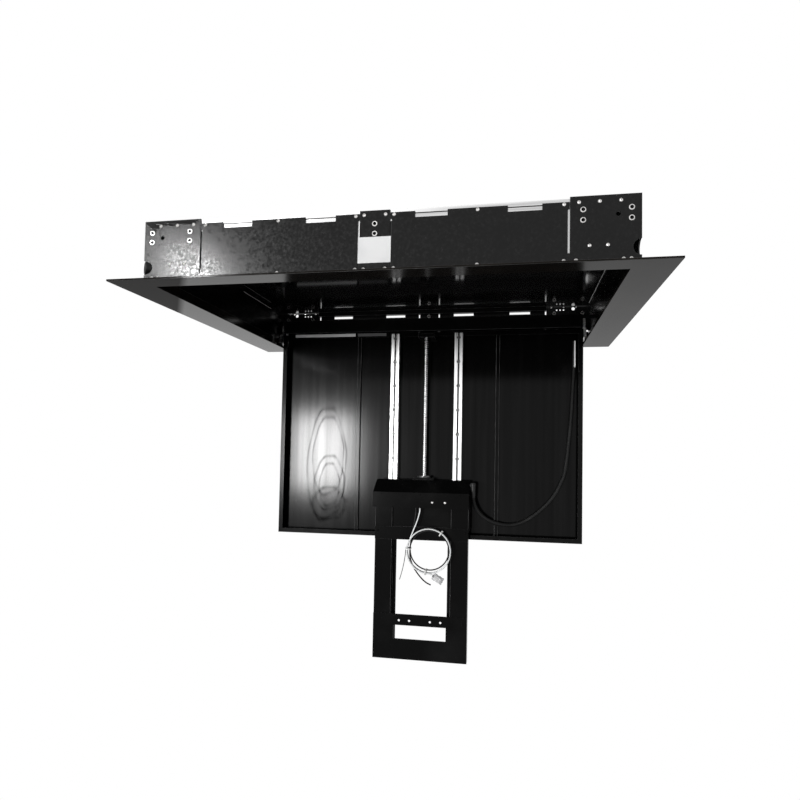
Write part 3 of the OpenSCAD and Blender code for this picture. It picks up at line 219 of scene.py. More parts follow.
# %% Routes of the cables
CABLE_D = 3.2 * MM
COIL_X, COIL_Z, COIL_STEP, COIL_POINTS = 22 * MM, -501 * MM, 3.9 * MM, 40
PALE_R, PALE_Y, PALE_TURNS = 51.5 * MM, 180.85 * MM, 2.25
BLACK_R, BLACK_Y, BLACK_TURNS = 46.5 * MM, 188.65 * MM, 1
PALE_START = Vector((-2, 185.15, -401)) * MM
BLACK_START = Vector((-12, 188.65, -401)) * MM
LEAD_SHAPE = [(0, 0, 0), (.03, .06, .12), (.25, .4, .34), (.66, .85, .64), (.94, 1, .86), (1, 1, 1)]
PALE_TAIL = [(0, 0, 0), (5.5, 0, -0.9), (11, 0, -4)]
BLACK_TAIL = [(0, 0, 0), (1.5, 0, -20), (10.5, 0, -42), (24.5, 0, -61), (38.5, 0, -74), (51.5, 0, -80.5)]
CABLE_BENDS = 6


def coil_y(y, angle):
    return y - COIL_STEP * (angle - 180) / 360


def coil(radius, y, turns):
    """A coil that starts at its left side and runs downwards, each turn in front of the last."""
    count = math.ceil(turns * COIL_POINTS)
    made = []
    for k in range(count + 1):
        angle = 180 + 360 * turns * k / count
        a = math.radians(angle)
        made.append(Vector((COIL_X + radius * math.cos(a), coil_y(y, angle), COIL_Z + radius * math.sin(a))))
    return made


def cable_route(start, radius, y, turns, tail):
    turns_of_cable = coil(radius, y, turns)
    end = turns_of_cable[0]
    lead = [[a + (b - a) * s for a, b, s in zip(start, end, share)] for share in LEAD_SHAPE]
    tail_points = [turns_of_cable[-1] + Vector(p) * MM for p in tail]
    return smooth(lead, CABLE_BENDS)[:-1] + turns_of_cable[:-1] + smooth(tail_points, CABLE_BENDS)


pale_route = cable_route(PALE_START, PALE_R, PALE_Y, PALE_TURNS, PALE_TAIL)
black_route = cable_route(BLACK_START, BLACK_R, BLACK_Y, BLACK_TURNS, BLACK_TAIL)
for name, route in (("pale", pale_route), ("black", black_route)):
    print(name, "route", round(run_length(route), 4), "m,", len(route), "points")

# %% [markdown]
# ## Shared surface effects
# Coats, metals and mouldings are all a first tone with patches of a second one, and a fine grain.
# That could be drawn again in each material, but a node group is built once and placed with its own
# values. The three groups differ in how fine their noise is. They put out colour, roughness and
# height, and the shader stays in each material.

# %% Surface groups
SURFACE_IN = [("Vector", "Vector"), ("Tone", "Color"), ("Second tone", "Color"), ("Grain scale", "Float"),
              ("Patch scale", "Float"), ("Patch start", "Float"), ("Roughness low", "Float"),
              ("Roughness high", "Float")]
SURFACE_OUT = [("Color", "Color"), ("Roughness", "Float"), ("Height", "Float")]
NOISE_LOW, NOISE_HIGH, PATCH_END = 0.25, 0.75, 0.85


def new_group(name, inputs, outputs):
    """An empty node group with its sockets, each given by a label and a kind."""
    group = bpy.data.node_groups.new(name, "ShaderNodeTree")
    for way, sockets in (("INPUT", inputs), ("OUTPUT", outputs)):
        for label, kind in sockets:
            group.interface.new_socket(label, in_out=way, socket_type="NodeSocket" + kind)
    return group, group.nodes.new("NodeGroupInput").outputs, group.nodes.new("NodeGroupOutput").inputs


def feed(tree, socket, value):
    """Links another socket to this one, or types a value into it."""
    if isinstance(value, bpy.types.NodeSocket):
        tree.links.new(value, socket)
    else:
        socket.default_value = value


def noise(tree, vector, scale, detail):
    node = tree.nodes.new("ShaderNodeTexNoise")
    for label, value in (("Vector", vector), ("Scale", scale), ("Detail", detail)):
        feed(tree, node.inputs[label], value)
    return node.outputs["Fac"]


def spread(tree, value, low, high, to_low, to_high):
    """Maps low to high of a value onto another range. The four limits are numbers or sockets."""
    node = tree.nodes.new("ShaderNodeMapRange")
    tree.links.new(value, node.inputs["Value"])
    for label, limit in (("From Min", low), ("From Max", high), ("To Min", to_low), ("To Max", to_high)):
        feed(tree, node.inputs[label], limit)
    return node.outputs["Result"]


def blend_colours(tree, share, first, second):
    node = tree.nodes.new("ShaderNodeMix")
    node.data_type = "RGBA"
    for label, socket in (("Factor", share), ("A", first), ("B", second)):
        tree.links.new(socket, node.inputs[label])
    return next(o for o in node.outputs if o.type == "RGBA")


def surface_group(name, grain_detail, patch_detail):
    """Patches of a second tone over a first, with a fine grain as height."""
    group, given, out = new_group(name, SURFACE_IN, SURFACE_OUT)
    grain = noise(group, given["Vector"], given["Grain scale"], grain_detail)
    patch = noise(group, given["Vector"], given["Patch scale"], patch_detail)
    mask = spread(group, patch, given["Patch start"], PATCH_END, 0, 1)
    gloss = spread(group, patch, NOISE_LOW, NOISE_HIGH, given["Roughness low"], given["Roughness high"])
    group.links.new(blend_colours(group, mask, given["Tone"], given["Second tone"]), out["Color"])
    group.links.new(gloss, out["Roughness"])
    group.links.new(grain, out["Height"])
    return group


coat_skin = surface_group("coat_skin", grain_detail=2, patch_detail=5)
metal_streaks = surface_group("metal_streaks", grain_detail=1, patch_detail=3)
mould_grain = surface_group("mould_grain", grain_detail=4, patch_detail=2)
print("surface groups:", [group.name for group in bpy.data.node_groups])

# %% [markdown]
# ## Masks
# Two more groups say where something is. A zone marks a stretch along one axis, for a groove or a
# bare edge. A wiping loop is the dull ring that a cloth leaves on gloss. Painted pictures could do
# both, but numbers stay sharp at any size and need no file.

# %% Mask groups
ZONE_IN = [("Value", "Float"), ("Centre", "Float"), ("Half width", "Float")]
LOOP_IN = [("Vector", "Vector"), ("Width", "Float")]
MASK_OUT = [("Mask", "Float")]
LOOP_NEAR, LOOP_FAR, LOOP_FAINT = 0.91, 1.09, 0.3
WOBBLE_SCALE, FADE_SCALE, FADE_LOW, FADE_HIGH = 1.1, 1.9, 0.35, 0.65


def zone_group():
    """1 where a value is within a half width of a centre."""
    group, given, out = new_group("zone", ZONE_IN, MASK_OUT)
    group.links.new(calc(group, "COMPARE", *(given[label] for label, kind in ZONE_IN)), out["Mask"])
    return group


def wipe_group():
    """One uneven loop, left by a cloth, near a distance of 1 from the given vector's origin."""
    group, given, out = new_group("wipe_loop", LOOP_IN, MASK_OUT)
    vector = given["Vector"]
    reach = group.nodes.new("ShaderNodeVectorMath")
    reach.operation = "LENGTH"
    group.links.new(vector, reach.inputs[0])
    ring = spread(group, noise(group, vector, WOBBLE_SCALE, 1), NOISE_LOW, NOISE_HIGH, LOOP_NEAR, LOOP_FAR)
    away = calc(group, "ABSOLUTE", calc(group, "SUBTRACT", reach.outputs["Value"], ring))
    line = spread(group, away, 0, given["Width"], 1, 0)
    strength = spread(group, noise(group, vector, FADE_SCALE, 1), FADE_LOW, FADE_HIGH, LOOP_FAINT, 1)
    group.links.new(calc(group, "MULTIPLY", line, strength), out["Mask"])
    return group


zone = zone_group()
wipe_loop = wipe_group()
print("mask groups:", zone.name, wipe_loop.name)

# %% [markdown]
# ## Coats
# Each finish is one material: a Principled shader with a surface group before it. The sheets are
# powder coated in black, dusty on the walls, smoother on the lid, and worn thin at the edges; the
# paler edge tone is partly a painted highlight.
# Numbers that are the same all over, such as the specular level, are typed on the shader itself,
# because the export drops them if they come through a link.

# %% Coats
RELIEF = 0.0002


def placed(tree, group, values):
    """The outputs of a node group that stands in a material, with its inputs fed."""
    node = tree.nodes.new("ShaderNodeGroup")
    node.node_tree = group
    for label, value in values.items():
        feed(tree, node.inputs[label], value)
    return node.outputs


def finish(name, group, tone, second, grain, patch, start, rough, bump, stretch=(1, 1, 1), **plain):
    """A material from a surface group. rough is its range, and plain holds sockets to type in."""
    mat = bpy.data.materials.new(name)
    mat.use_nodes = True
    tree = mat.node_tree
    shader = tree.nodes["Principled BSDF"]
    mapping = tree.nodes.new("ShaderNodeMapping")
    mapping.inputs["Scale"].default_value = stretch
    tree.links.new(tree.nodes.new("ShaderNodeTexCoord").outputs["Object"], mapping.inputs["Vector"])
    skin = placed(tree, group, {
        "Vector": mapping.outputs[0], "Tone": (*tone, 1), "Second tone": (*second, 1), "Grain scale": grain,
        "Patch scale": patch, "Patch start": start, "Roughness low": rough[0], "Roughness high": rough[1]})
    relief = tree.nodes.new("ShaderNodeBump")
    relief.inputs["Strength"].default_value = bump
    relief.inputs["Distance"].default_value = RELIEF
    tree.links.new(skin["Height"], relief.inputs["Height"])
    tree.links.new(skin["Color"], shader.inputs["Base Color"])
    tree.links.new(skin["Roughness"], shader.inputs["Roughness"])
    tree.links.new(relief.outputs[0], shader.inputs["Normal"])
    for label, value in plain.items():
        shader.inputs[label.replace("_", " ")].default_value = value
    return mat


def grey(value, warm=0.0):
    return (value * (1 + warm), value, value * (1 - warm))


coat = finish("black_powder_coat", coat_skin, grey(0.0022), grey(0.007), grain=900, patch=9, start=0.52,
              rough=(0.12, 0.18), bump=0.1, Specular_IOR_Level=0.045)
WALL = dict(group=coat_skin, tone=grey(0.0015), second=grey(0.006), grain=420, patch=230, start=0.5,
            rough=(0.1, 0.29), bump=0.16, Specular_IOR_Level=0.22)
coat_wall = finish("dusty_wall_coat", **WALL)
coat_lid = finish("lid_coat", coat_skin, grey(0.004), grey(0.008), grain=500, patch=3, start=0.5,
                  rough=(0.06, 0.12), bump=0.02, stretch=(0.5, 2, 1), Specular_IOR_Level=1.0)
# The edge finish: worn coat, with a paler tone that is partly a painted highlight.
coat_rim_wear_and_highlight = finish("worn_edge_and_highlight", coat_skin, grey(0.03), grey(0.14), grain=700, patch=40, start=0.42,
                  rough=(0.3, 0.45), bump=0.1, Specular_IOR_Level=0.2)
print("coats:", coat.name, coat_wall.name, coat_lid.name, coat_rim_wear_and_highlight.name)

# %% [markdown]
# ## Metals and mouldings
# Fasteners are zinc plated, shafts and gears are bare steel, and the bushes are bronze. Small parts
# are moulded, the cables have soft jackets, and the label is paper. Each could be one plain colour,
# but streaks and grain keep a surface from looking like paint.

# %% Metals and mouldings
zinc = finish("bright_zinc", metal_streaks, grey(0.55, 0.02), grey(0.8, 0.01), grain=900, patch=160,
              start=0.35, rough=(0.2, 0.4), bump=0.05, Metallic=1)
steel = finish("turned_steel", metal_streaks, grey(0.5), grey(0.75), grain=400, patch=60, start=0.35,
               rough=(0.22, 0.4), bump=0.08, stretch=(1, 1, 8), Metallic=1)
dark_steel = finish("blackened_steel", metal_streaks, grey(0.06), grey(0.13), grain=400, patch=60,
                    start=0.35, rough=(0.25, 0.42), bump=0.08, Metallic=1)
bronze = finish("oiled_bronze", metal_streaks, (0.5, 0.31, 0.12), (0.68, 0.46, 0.2), grain=300, patch=50,
                start=0.35, rough=(0.25, 0.45), bump=0.08, Metallic=1)
dark_plastic = finish("dark_moulding", mould_grain, grey(0.008), grey(0.018), grain=1600, patch=12,
                      start=0.5, rough=(0.4, 0.55), bump=0.25, Specular_IOR_Level=0.25)
white_plastic = finish("white_moulding", mould_grain, (0.72, 0.72, 0.7), (0.62, 0.61, 0.58), grain=1600,
                       patch=14, start=0.5, rough=(0.34, 0.5), bump=0.15)
tie_nylon = finish("tie_nylon", mould_grain, (0.55, 0.55, 0.54), (0.4, 0.4, 0.39), grain=1600, patch=30,
                   start=0.5, rough=(0.3, 0.45), bump=0.12)
bag_film = finish("clear_bag_film", mould_grain, (0.6, 0.6, 0.61), (0.4, 0.4, 0.41), grain=900, patch=60,
                  start=0.42, rough=(0.15, 0.3), bump=0.3, Alpha=0.7)
label_paper = finish("blank_label_paper", mould_grain, (0.58, 0.58, 0.58), (0.53, 0.53, 0.535), grain=2600,
                     patch=45, start=0.48, rough=(0.5, 0.7), bump=0.2)
hose_rubber = finish("conduit_plastic", mould_grain, grey(0.005), grey(0.012), grain=1800, patch=20,
                     start=0.5, rough=(0.36, 0.5), bump=0.2, Specular_IOR_Level=0.2)
black_jacket = finish("black_cable_jacket", mould_grain, grey(0.004), grey(0.012), grain=2200, patch=30,
                      start=0.5, rough=(0.34, 0.46), bump=0.2, Specular_IOR_Level=0.2)
pale_jacket = finish("pale_cable_jacket", mould_grain, (0.64, 0.65, 0.65), (0.46, 0.46, 0.45), grain=2200,
                     patch=26, start=0.5, rough=(0.26, 0.4), bump=0.15)
print("finishes so far:", len(bpy.data.materials) - 1)

# %% [markdown]
# ## Finishes with painted light and shade in stretches
# Some sheets and bars change tone at a line, and each change is painted light or shade: the left wall
# has a painted highlight line inside, the top rail and the guide rails have painted shade in their
# grooves, the posts are painted dark as shade with a painted highlight on two of them, and the duct
# has a painted highlight along one edge. A second material on some faces would need cuts in the CAD
# mesh, so zones along the axes paint them.

# %% Finishes with stretches
def axes_of(tree):
    """X, Y and Z of a place on the object."""
    axes = tree.nodes.new("ShaderNodeSeparateXYZ")
    tree.links.new(tree.nodes["Texture Coordinate"].outputs["Object"], axes.inputs[0])
    return axes.outputs


def patched(mat, tone, *patches):
    """Paints patches in another tone. A patch is a list of zones: an axis, a centre and a half width."""
    tree = mat.node_tree
    shader = tree.nodes["Principled BSDF"]
    colour = shader.inputs["Base Color"].links[0].from_socket
    paint = tree.nodes.new("ShaderNodeRGB")
    paint.outputs[0].default_value = (*tone, 1)
    axes = axes_of(tree)
    for patch in patches:
        mask = None
        for axis, centre, half in patch:
            inside = placed(tree, zone, {"Value": axes[axis], "Centre": centre, "Half width": half})["Mask"]
            mask = inside if mask is None else calc(tree, "MULTIPLY", mask, inside)
        colour = blend_colours(tree, mask, colour, paint.outputs[0])
    tree.links.new(colour, shader.inputs["Base Color"])
    return mat


# Painted highlight: a pale line along the left wall's inner face.
coat_side_painted_highlight = patched(finish("side_wall_coat", **WALL), grey(0.5),
                    [("X", -0.3905, 0.0004), ("Y", 0.113, 0.068), ("Z", 0.0864, 0.0006)])
# Painted shade: a dark line in the top rail's face groove.
alu_long_groove_shade = patched(
    finish("brushed_aluminium", metal_streaks, grey(0.48), grey(0.75), grain=60, patch=4, start=0.3,
           rough=(0.24, 0.42), bump=0.05, stretch=(1, 40, 40), Metallic=1),
    grey(0.03), [("Z", 0.0918, 0.0008)])
# Painted shade and highlight: the posts are dark as the shade in the slits, and two stretches are painted
# highlights.
post_alu_shade_and_highlight = patched(
    finish("post_aluminium_shade_and_highlight", metal_streaks, grey(0.02), grey(0.03), grain=60, patch=4, start=0.3,
           rough=(0.3, 0.45), bump=0.05, stretch=(40, 40, 1), Metallic=1),
    grey(0.5), [("X", -0.0257, 0.008)], [("X", 0.2908, 0.008)])
# Painted shade: a dark line in each guide rail's groove.
rail_steel_groove_shade = patched(
    finish("ground_rail_steel", metal_streaks, grey(0.5), grey(0.75), grain=60, patch=4, start=0.3,
           rough=(0.2, 0.36), bump=0.05, stretch=(40, 40, 1), Metallic=1),
    grey(0.004), [("X", -0.08, 0.0021)], [("X", 0.08, 0.0021)])
# Painted highlight: a pale stripe along one edge of the dark duct.
duct_painted_highlight = patched(
    finish("duct_moulding", mould_grain, grey(0.01), grey(0.02), grain=1600, patch=12, start=0.5,
           rough=(0.36, 0.5), bump=0.2, Specular_IOR_Level=0.3),
    grey(0.6), [("X", 0.359, 0.0015)])
print("painted stretches on 5 finishes")

# %% [markdown]
# ## Flange and flap
# Both are coated sheets with a thin gloss film, and the film's weight says how much of the room they
# mirror. The flange mirrors less at its left corner, on its front edge and to the right: a painted
# shade in its gloss. The flap has upright streaks and the dull loops of a cloth that wiped it. A
# loop is squeezed flat across the sheet, so that it stays on the inner face. The flap's upper lip
# has a painted highlight in two stretches.

# %% Flange and flap
CORNER_SIDE = (0.809, 0.588, 0)
CORNER_GLOSS = (-0.425, -0.412, 0.17, 0.76)
FRONT_GLOSS = (-0.2932, -0.2924, 0.15, 1)
RIGHT_GLOSS = (-0.1, 0.4, 1, 0.55)
FILM, FILM_SCALE, FILM_ROUGH, WIPED = 0.225, (75, 1, 1.6), 0.13, 0.35
STREAK_LOW, STREAK_HIGH, STREAK_SHARE = 0.3, 0.7, 0.2
FLAP_Y, SKIN = 0.2475, 0.0004
WIPES = [((-0.2595, -0.301), (0.0515, 0.143), 0.07), ((-0.256, -0.281), (0.041, 0.1), 0.08),
         ((-0.2515, -0.35), (0.0395, 0.0685), 0.1), ((-0.251, -0.355), (0.0265, 0.054), 0.12),
         ((-0.2515, -0.403), (0.0425, 0.0405), 0.2)]
LIP_HIGHLIGHT_STRIP = [("Y", 0.2268, 0.0015), ("Z", 0.0262, 0.0037)]


def shaded_film(mat):
    """A film that is weaker in some stretches, a painted shade: from, to, and its weight at both."""
    tree = mat.node_tree
    across = tree.nodes.new("ShaderNodeVectorMath")
    across.operation = "DOT_PRODUCT"
    across.inputs[1].default_value = CORNER_SIDE
    tree.links.new(tree.nodes["Texture Coordinate"].outputs["Object"], across.inputs[0])
    film, axes = spread(tree, across.outputs["Value"], *CORNER_GLOSS), axes_of(tree)
    for axis, gloss in (("Y", FRONT_GLOSS), ("X", RIGHT_GLOSS)):
        film = calc(tree, "MULTIPLY", film, spread(tree, axes[axis], *gloss))
    tree.links.new(film, tree.nodes["Principled BSDF"].inputs["Coat Weight"])
    return mat


def wiped_film(mat):
    """A film with upright streaks and wiping loops: a centre, a reach and a line's width."""
    tree = mat.node_tree
    place = tree.nodes["Texture Coordinate"].outputs["Object"]
    mapping = tree.nodes.new("ShaderNodeMapping")
    mapping.inputs["Scale"].default_value = FILM_SCALE
    tree.links.new(place, mapping.inputs["Vector"])
    film = spread(tree, noise(tree, mapping.outputs[0], 1, 3), STREAK_LOW, STREAK_HIGH,
                  (1 - STREAK_SHARE) * FILM, (1 + STREAK_SHARE) * FILM)
    for (x, z), (wide, tall), width in WIPES:
        mapping = tree.nodes.new("ShaderNodeMapping")
        mapping.vector_type = "TEXTURE"
        mapping.inputs["Location"].default_value = (x, FLAP_Y, z)
        mapping.inputs["Scale"].default_value = (wide, SKIN, tall)
        tree.links.new(place, mapping.inputs["Vector"])
        loop = placed(tree, wipe_loop, {"Vector": mapping.outputs[0], "Width": width})["Mask"]
        film = calc(tree, "MULTIPLY", film, spread(tree, loop, 0, 1, 1, WIPED))
    tree.links.new(film, tree.nodes["Principled BSDF"].inputs["Coat Weight"])
    return mat


# Painted shade: the flange's film is weaker at its left corner, front edge and right.
coat_flange = shaded_film(finish(
    "flange_coat", coat_skin, grey(0.006, 0.15), grey(0.016, 0.15), grain=900, patch=7, start=0.5,
    rough=(0.4, 0.5), bump=0.05, Specular_IOR_Level=0, Coat_Roughness=FILM_ROUGH))
coat_flap = wiped_film(finish(
    "flap_coat", coat_skin, grey(0.001), grey(0.003), grain=900, patch=5, start=0.56, rough=(0.4, 0.5),
    bump=0.05, stretch=(9, 1, 0.7), Specular_IOR_Level=0, Coat_Roughness=FILM_ROUGH))
# Painted highlight on the flap's upper lip, in two stretches of different strength.
for tone, centre, half in ((0.4, -0.2637, 0.0805), (0.08, -0.14, 0.037)):
    patched(coat_flap, grey(tone), [("X", centre, half), *LIP_HIGHLIGHT_STRIP])
print("finishes:", len(bpy.data.materials), "with", len(WIPES), "wiping loops on the flap")

# %% [markdown]
# ## Finishes on the CAD sheets
# A folded and coated sheet never has razor edges: the coat is thin there and catches the light.
# The CAD meshes stay untouched. Modifiers weld their loose triangles, join flat ones, and round
# the edges a little, and the rounding takes the worn-edge finish, whose paler tone is partly a
# painted highlight.

# %% CAD finishes
WELD_GAP, FLAT_ANGLE, EDGE_ANGLE = 0.00001, math.radians(0.5), math.radians(40)
SHEET_EDGE, BLOCK_EDGE, BAR_EDGE, TURNED_EDGE, SCREW_EDGE = 0.0006, 0.0004, 0.0003, 0.0002, 0.00015


def dress(material, names, edge=0.0, rim=None):
    """Gives CAD nodes a finish, and where an edge is given, rounded edges in the rim's finish."""
    for name in names.split():
        obj = nodes[name]
        obj.data.materials.clear()
        obj.data.materials.append(material)
        if not edge:
            continue
        obj.data.materials.append(rim or material)
        weld = obj.modifiers.new("weld", "WELD")
        weld.merge_threshold = WELD_GAP
        flat = obj.modifiers.new("flat", "DECIMATE")
        flat.decimate_type, flat.angle_limit = "DISSOLVE", FLAT_ANGLE
        soft = obj.modifiers.new("soft_edges", "BEVEL")
        soft.width, soft.segments, soft.profile = edge, 2, 0.5
        soft.limit_method, soft.angle_limit = "ANGLE", EDGE_ANGLE
        soft.material, soft.harden_normals = 1, True


dress(coat_flange, "flange_frame", SHEET_EDGE, coat_rim_wear_and_highlight)
dress(coat_wall, "front_cover_left front_cover_right front_corner_left front_corner_right "
      "front_centre_plate rear_cover_left rear_cover_right rear_corner_left rear_corner_right "
      "rear_centre_plate", SHEET_EDGE, coat_rim_wear_and_highlight)
dress(coat_side_painted_highlight, "side_wall_left side_wall_right", SHEET_EDGE, coat_rim_wear_and_highlight)
dress(coat, "hinge_brackets drive_cover hood bracket_channel_left bracket_channel_right centre_panel "
      "crossbar lower_plate carriage_plate nut_bracket motor_bracket rear_top_rail bearing_block",
      SHEET_EDGE, coat_rim_wear_and_highlight)
dress(coat_flap, "flap_tray tray_stiffeners", SHEET_EDGE, coat_rim_wear_and_highlight)
dress(coat_lid, "top_lid")
dress(alu_long_groove_shade, "front_top_rail shaft_coupling", BAR_EDGE)
dress(post_alu_shade_and_highlight, "frame_posts", BAR_EDGE)
dress(rail_steel_groove_shade, "guide_rails", BAR_EDGE)
dress(zinc, "rivet_nuts wall_screws carriage_screws", SCREW_EDGE)
dress(steel, "pivot_pins sector_gears drive_pinion_left drive_pinion_right flip_motors lead_screw",
      TURNED_EDGE)
dress(steel, "slider_blocks", BLOCK_EDGE)
dress(dark_steel, "rail_screws screw_nut", TURNED_EDGE)
dress(bronze, "hinge_bushes", TURNED_EDGE)
dress(dark_plastic, "control_box screw_motor cable_glands", SHEET_EDGE)
dress(duct_painted_highlight, "cable_duct", BAR_EDGE)
dress(white_plastic, "cable_connector", BAR_EDGE)
dress(tie_nylon, "cable_ties", TURNED_EDGE)
dress(label_paper, "blank_label")
print("dressed", sum(1 for obj in nodes.values() if obj.data.materials), "nodes")

# %% [markdown]
# ## A straight ribbed hose
# The real conduit is a corrugated hose. It could be an array of rings along a curve, but one wavy
# line, spun about an axis, gives one clean skin. It is made straight first, because a lathe only
# makes straight things.

# %% Straight hose
MERGE = 1e-7
CONDUIT_R, RIB_DEEP, CONDUIT_BORE_R = 5 * MM, 0.9 * MM, 3.3 * MM
RIBS, CONDUIT_STEPS = 140, 14
RIB_WAVE = [(0, 1), (0.22, 1), (0.4, 0), (0.78, 0)]


def new_faces(bm, known):
    return [face for face in bm.faces if face not in known]


def spun(bm, profile, steps, rise=0.0):
    """Turns (radius, height) points about Z, as on a lathe, and gives the faces. rise makes a thread."""
    known = set(bm.faces)
    verts = [bm.verts.new((r, 0, h)) for r, h in profile]
    edges = [bm.edges.new(pair) for pair in zip(verts, verts[1:])]
    bmesh.ops.spin(bm, geom=verts + edges, cent=(0, 0, 0), axis=(0, 0, 1), dvec=(0, 0, rise / steps),
                   angle=2 * math.pi, steps=steps, use_merge=not rise, use_normal_flip=False,
                   use_duplicate=False)
    return new_faces(bm, known)


conduit_length = run_length(conduit_route)
rib = conduit_length / RIBS
line = [(CONDUIT_BORE_R, 0)]
line += [(CONDUIT_R - RIB_DEEP * deep, (k + share) * rib) for k in range(RIBS) for share, deep in RIB_WAVE]
line += [(CONDUIT_R - RIB_DEEP, conduit_length), (CONDUIT_BORE_R, conduit_length)]
bm = bmesh.new()
spun(bm, line, CONDUIT_STEPS)
bmesh.ops.remove_doubles(bm, verts=bm.verts, dist=MERGE)
print("straight hose", len(bm.faces), "faces,", round(conduit_length, 3), "m")

# %% [markdown]
# ## The conduit on its route
# Each point of the straight hose is carried onto the route. Like every new piece, it is a bmesh
# that becomes an object at the origin: one helper cleans the mesh, gives it its finish, and says
# which body it rides on and which CAD nodes it stands for.

# %% Conduit on its route
def piece(name, bm, materials, body, slot, *replaced, sharp=40):
    """An object from a bmesh, smooth up to a sharp angle in degrees."""
    bmesh.ops.remove_doubles(bm, verts=bm.verts, dist=MERGE)
    bmesh.ops.recalc_face_normals(bm, faces=bm.faces)
    for face in bm.faces:
        face.smooth = True
    for edge in bm.edges:
        edge.smooth = edge.calc_face_angle(0) < math.radians(sharp)
    mesh = bpy.data.meshes.new(name)
    bm.to_mesh(mesh)
    bm.free()
    for material in materials:
        mesh.materials.append(material)
    obj = bpy.data.objects.new(name, mesh)
    scene.collection.objects.link(obj)
    if body:
        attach(obj, body)
    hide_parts(*replaced)
    print(name, len(mesh.polygons), "faces")
    return obj


def frames_along(route):
    """At each route point: the point, its run length, and two directions across the route."""
    made, run = [], 0.0
    for i, p in enumerate(route):
        if i:
            run += (p - route[i - 1]).length
        t = (route[min(i + 1, len(route) - 1)] - route[max(i - 1, 0)]).normalized()
        across = t.cross(Vector((0, 1, 0))).normalized()
        made.append((p, run, across, across.cross(t)))
    return made


def lay_along(bm, route):
    """Carries a straight hose along Z onto a route of the same length."""
    table = frames_along(route)
    i = 0
    for v in sorted(bm.verts, key=lambda v: v.co.z):
        while i < len(table) - 2 and table[i + 1][1] < v.co.z:
            i += 1
        (p, s, u, w), (p2, s2, u2, w2) = table[i], table[i + 1]
        t = (v.co.z - s) / (s2 - s)
        v.co = p.lerp(p2, t) + v.co.x * u.lerp(u2, t) + v.co.y * w.lerp(w2, t)


lay_along(bm, conduit_route)
conduit = piece("ribbed_conduit", bm, [hose_rubber], None, "dark_plastic", "conduit", sharp=25)
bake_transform(conduit)

# %% [markdown]
# ## Two loose cables
# A pale and a black cable leave the hood and lie in coils, tied and waiting for a television. A
# curve with a round bevel is the simplest cord, and its own line gives its length.

# %% Loose cables
def cable(name, route, material, slot, *replaced):
    line = bpy.data.curves.new(name, "CURVE")
    line.dimensions, line.bevel_depth, line.bevel_resolution = "3D", CABLE_D / 2, 4
    line.use_fill_caps = True
    spline = line.splines.new("POLY")
    spline.points.add(len(route) - 1)
    for point, place in zip(spline.points, route):
        point.co = (*place, 1)
    spline.use_smooth = True
    line.materials.append(material)
    obj = bpy.data.objects.new(name, line)
    scene.collection.objects.link(obj)
    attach(obj, "carriage")
    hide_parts(*replaced)
    return obj


pale = cable("pale_cable", pale_route, pale_jacket, "pale_cable", "pale_lead", "pale_coil", "pale_tail")
black = cable("black_cable", black_route, black_jacket, "black_cable",
              "black_lead", "black_coil", "black_tail")
print("cables", round(run_length(pale_route), 3), round(run_length(black_route), 3))

# %% [markdown]
# ## Places of the fasteners
# The CAD model has plain cylinders for the fasteners. Their places could be typed again here, but
# they are read from the separate solids of the CAD meshes, so that the two can't drift apart. All of
# them lie along Y, the widest points are the head, and its end shows which way a fastener looks.

# %% Places of the fasteners
SOLID_MERGE, NEARLY = 1e-6, 0.98


def solids_of(name):
    """The points of each separate solid of a CAD node."""
    bm = bmesh.new()
    bm.from_mesh(nodes[name].data)
    bmesh.ops.remove_doubles(bm, verts=bm.verts, dist=SOLID_MERGE)
    seen, made = set(), []
    for first in bm.verts:
        if first in seen:
            continue
        seen.add(first)
        todo, found = [first], []
        while todo:
            v = todo.pop()
            found.append(v.co.copy())
            for other in (edge.other_vert(v) for edge in v.link_edges):
                if other not in seen:
                    seen.add(other)
                    todo.append(other)
        made.append(found)
    bm.free()
    return made


def turned_along_y(points):
    """Of a headed solid along Y: a matrix that sets a lathe form on its seat, and its sizes."""
    xs, ys, zs = zip(*points)
    x, z, head_r = (min(xs) + max(xs)) / 2, (min(zs) + max(zs)) / 2, (max(xs) - min(xs)) / 2
    reach = [(math.hypot(p.x - x, p.z - z), p.y) for p in points]
    head = [y for r, y in reach if r > NEARLY * head_r]
    out = -1 if min(head) - min(ys) < SOLID_MERGE else 1
    seat, tall = (max(head) if out < 0 else min(head)), max(head) - min(head)
    shank_r = max(r for r, y in reach if r < NEARLY * head_r)
    z_to_y = Matrix(((1, 0, 0, 0), (0, 0, out, 0), (0, 1, 0, 0), (0, 0, 0, 1)))
    return Matrix.Translation((x, seat, z)) @ z_to_y, head_r, tall, shank_r, max(ys) - min(ys) - tall


fasteners = {name: solids_of(name) for name in ("wall_screws", "carriage_screws", "rivet_nuts")}
print("fasteners:", {name: len(solids) for name, solids in fasteners.items()})

# %% [markdown]
# ## Screws
# A turned form is set on each place: a domed head with a star socket on a plain shank. The star is
# the round socket's edge, drawn in and out six times. Two of the carriage's screws are bright, and
# the others are coated black.

# %% Screws
SCREW_STEPS = 24
SOCKET = [(0, 0.3), (0.3, 0.3)]
SCREW_DOME = [(0.42, 0.87), (0.55, 0.78), (0.72, 0.62), (0.88, 0.42), (1, 0.2), (1, 0)]
STAR_POINTS, STAR_DEEP, STAR_FROM, STAR_TO, STAR_FLOOR = 6, 0.22, 0.25, 0.5, 0.2
BRIGHT_SCREW_Z = -387 * MM


def points_of(faces):
    return {v for face in faces for v in face.verts}


def moved(faces, matrix):
    """Carries the points of some faces by a matrix."""
    for v in points_of(faces):
        v.co = matrix @ v.co


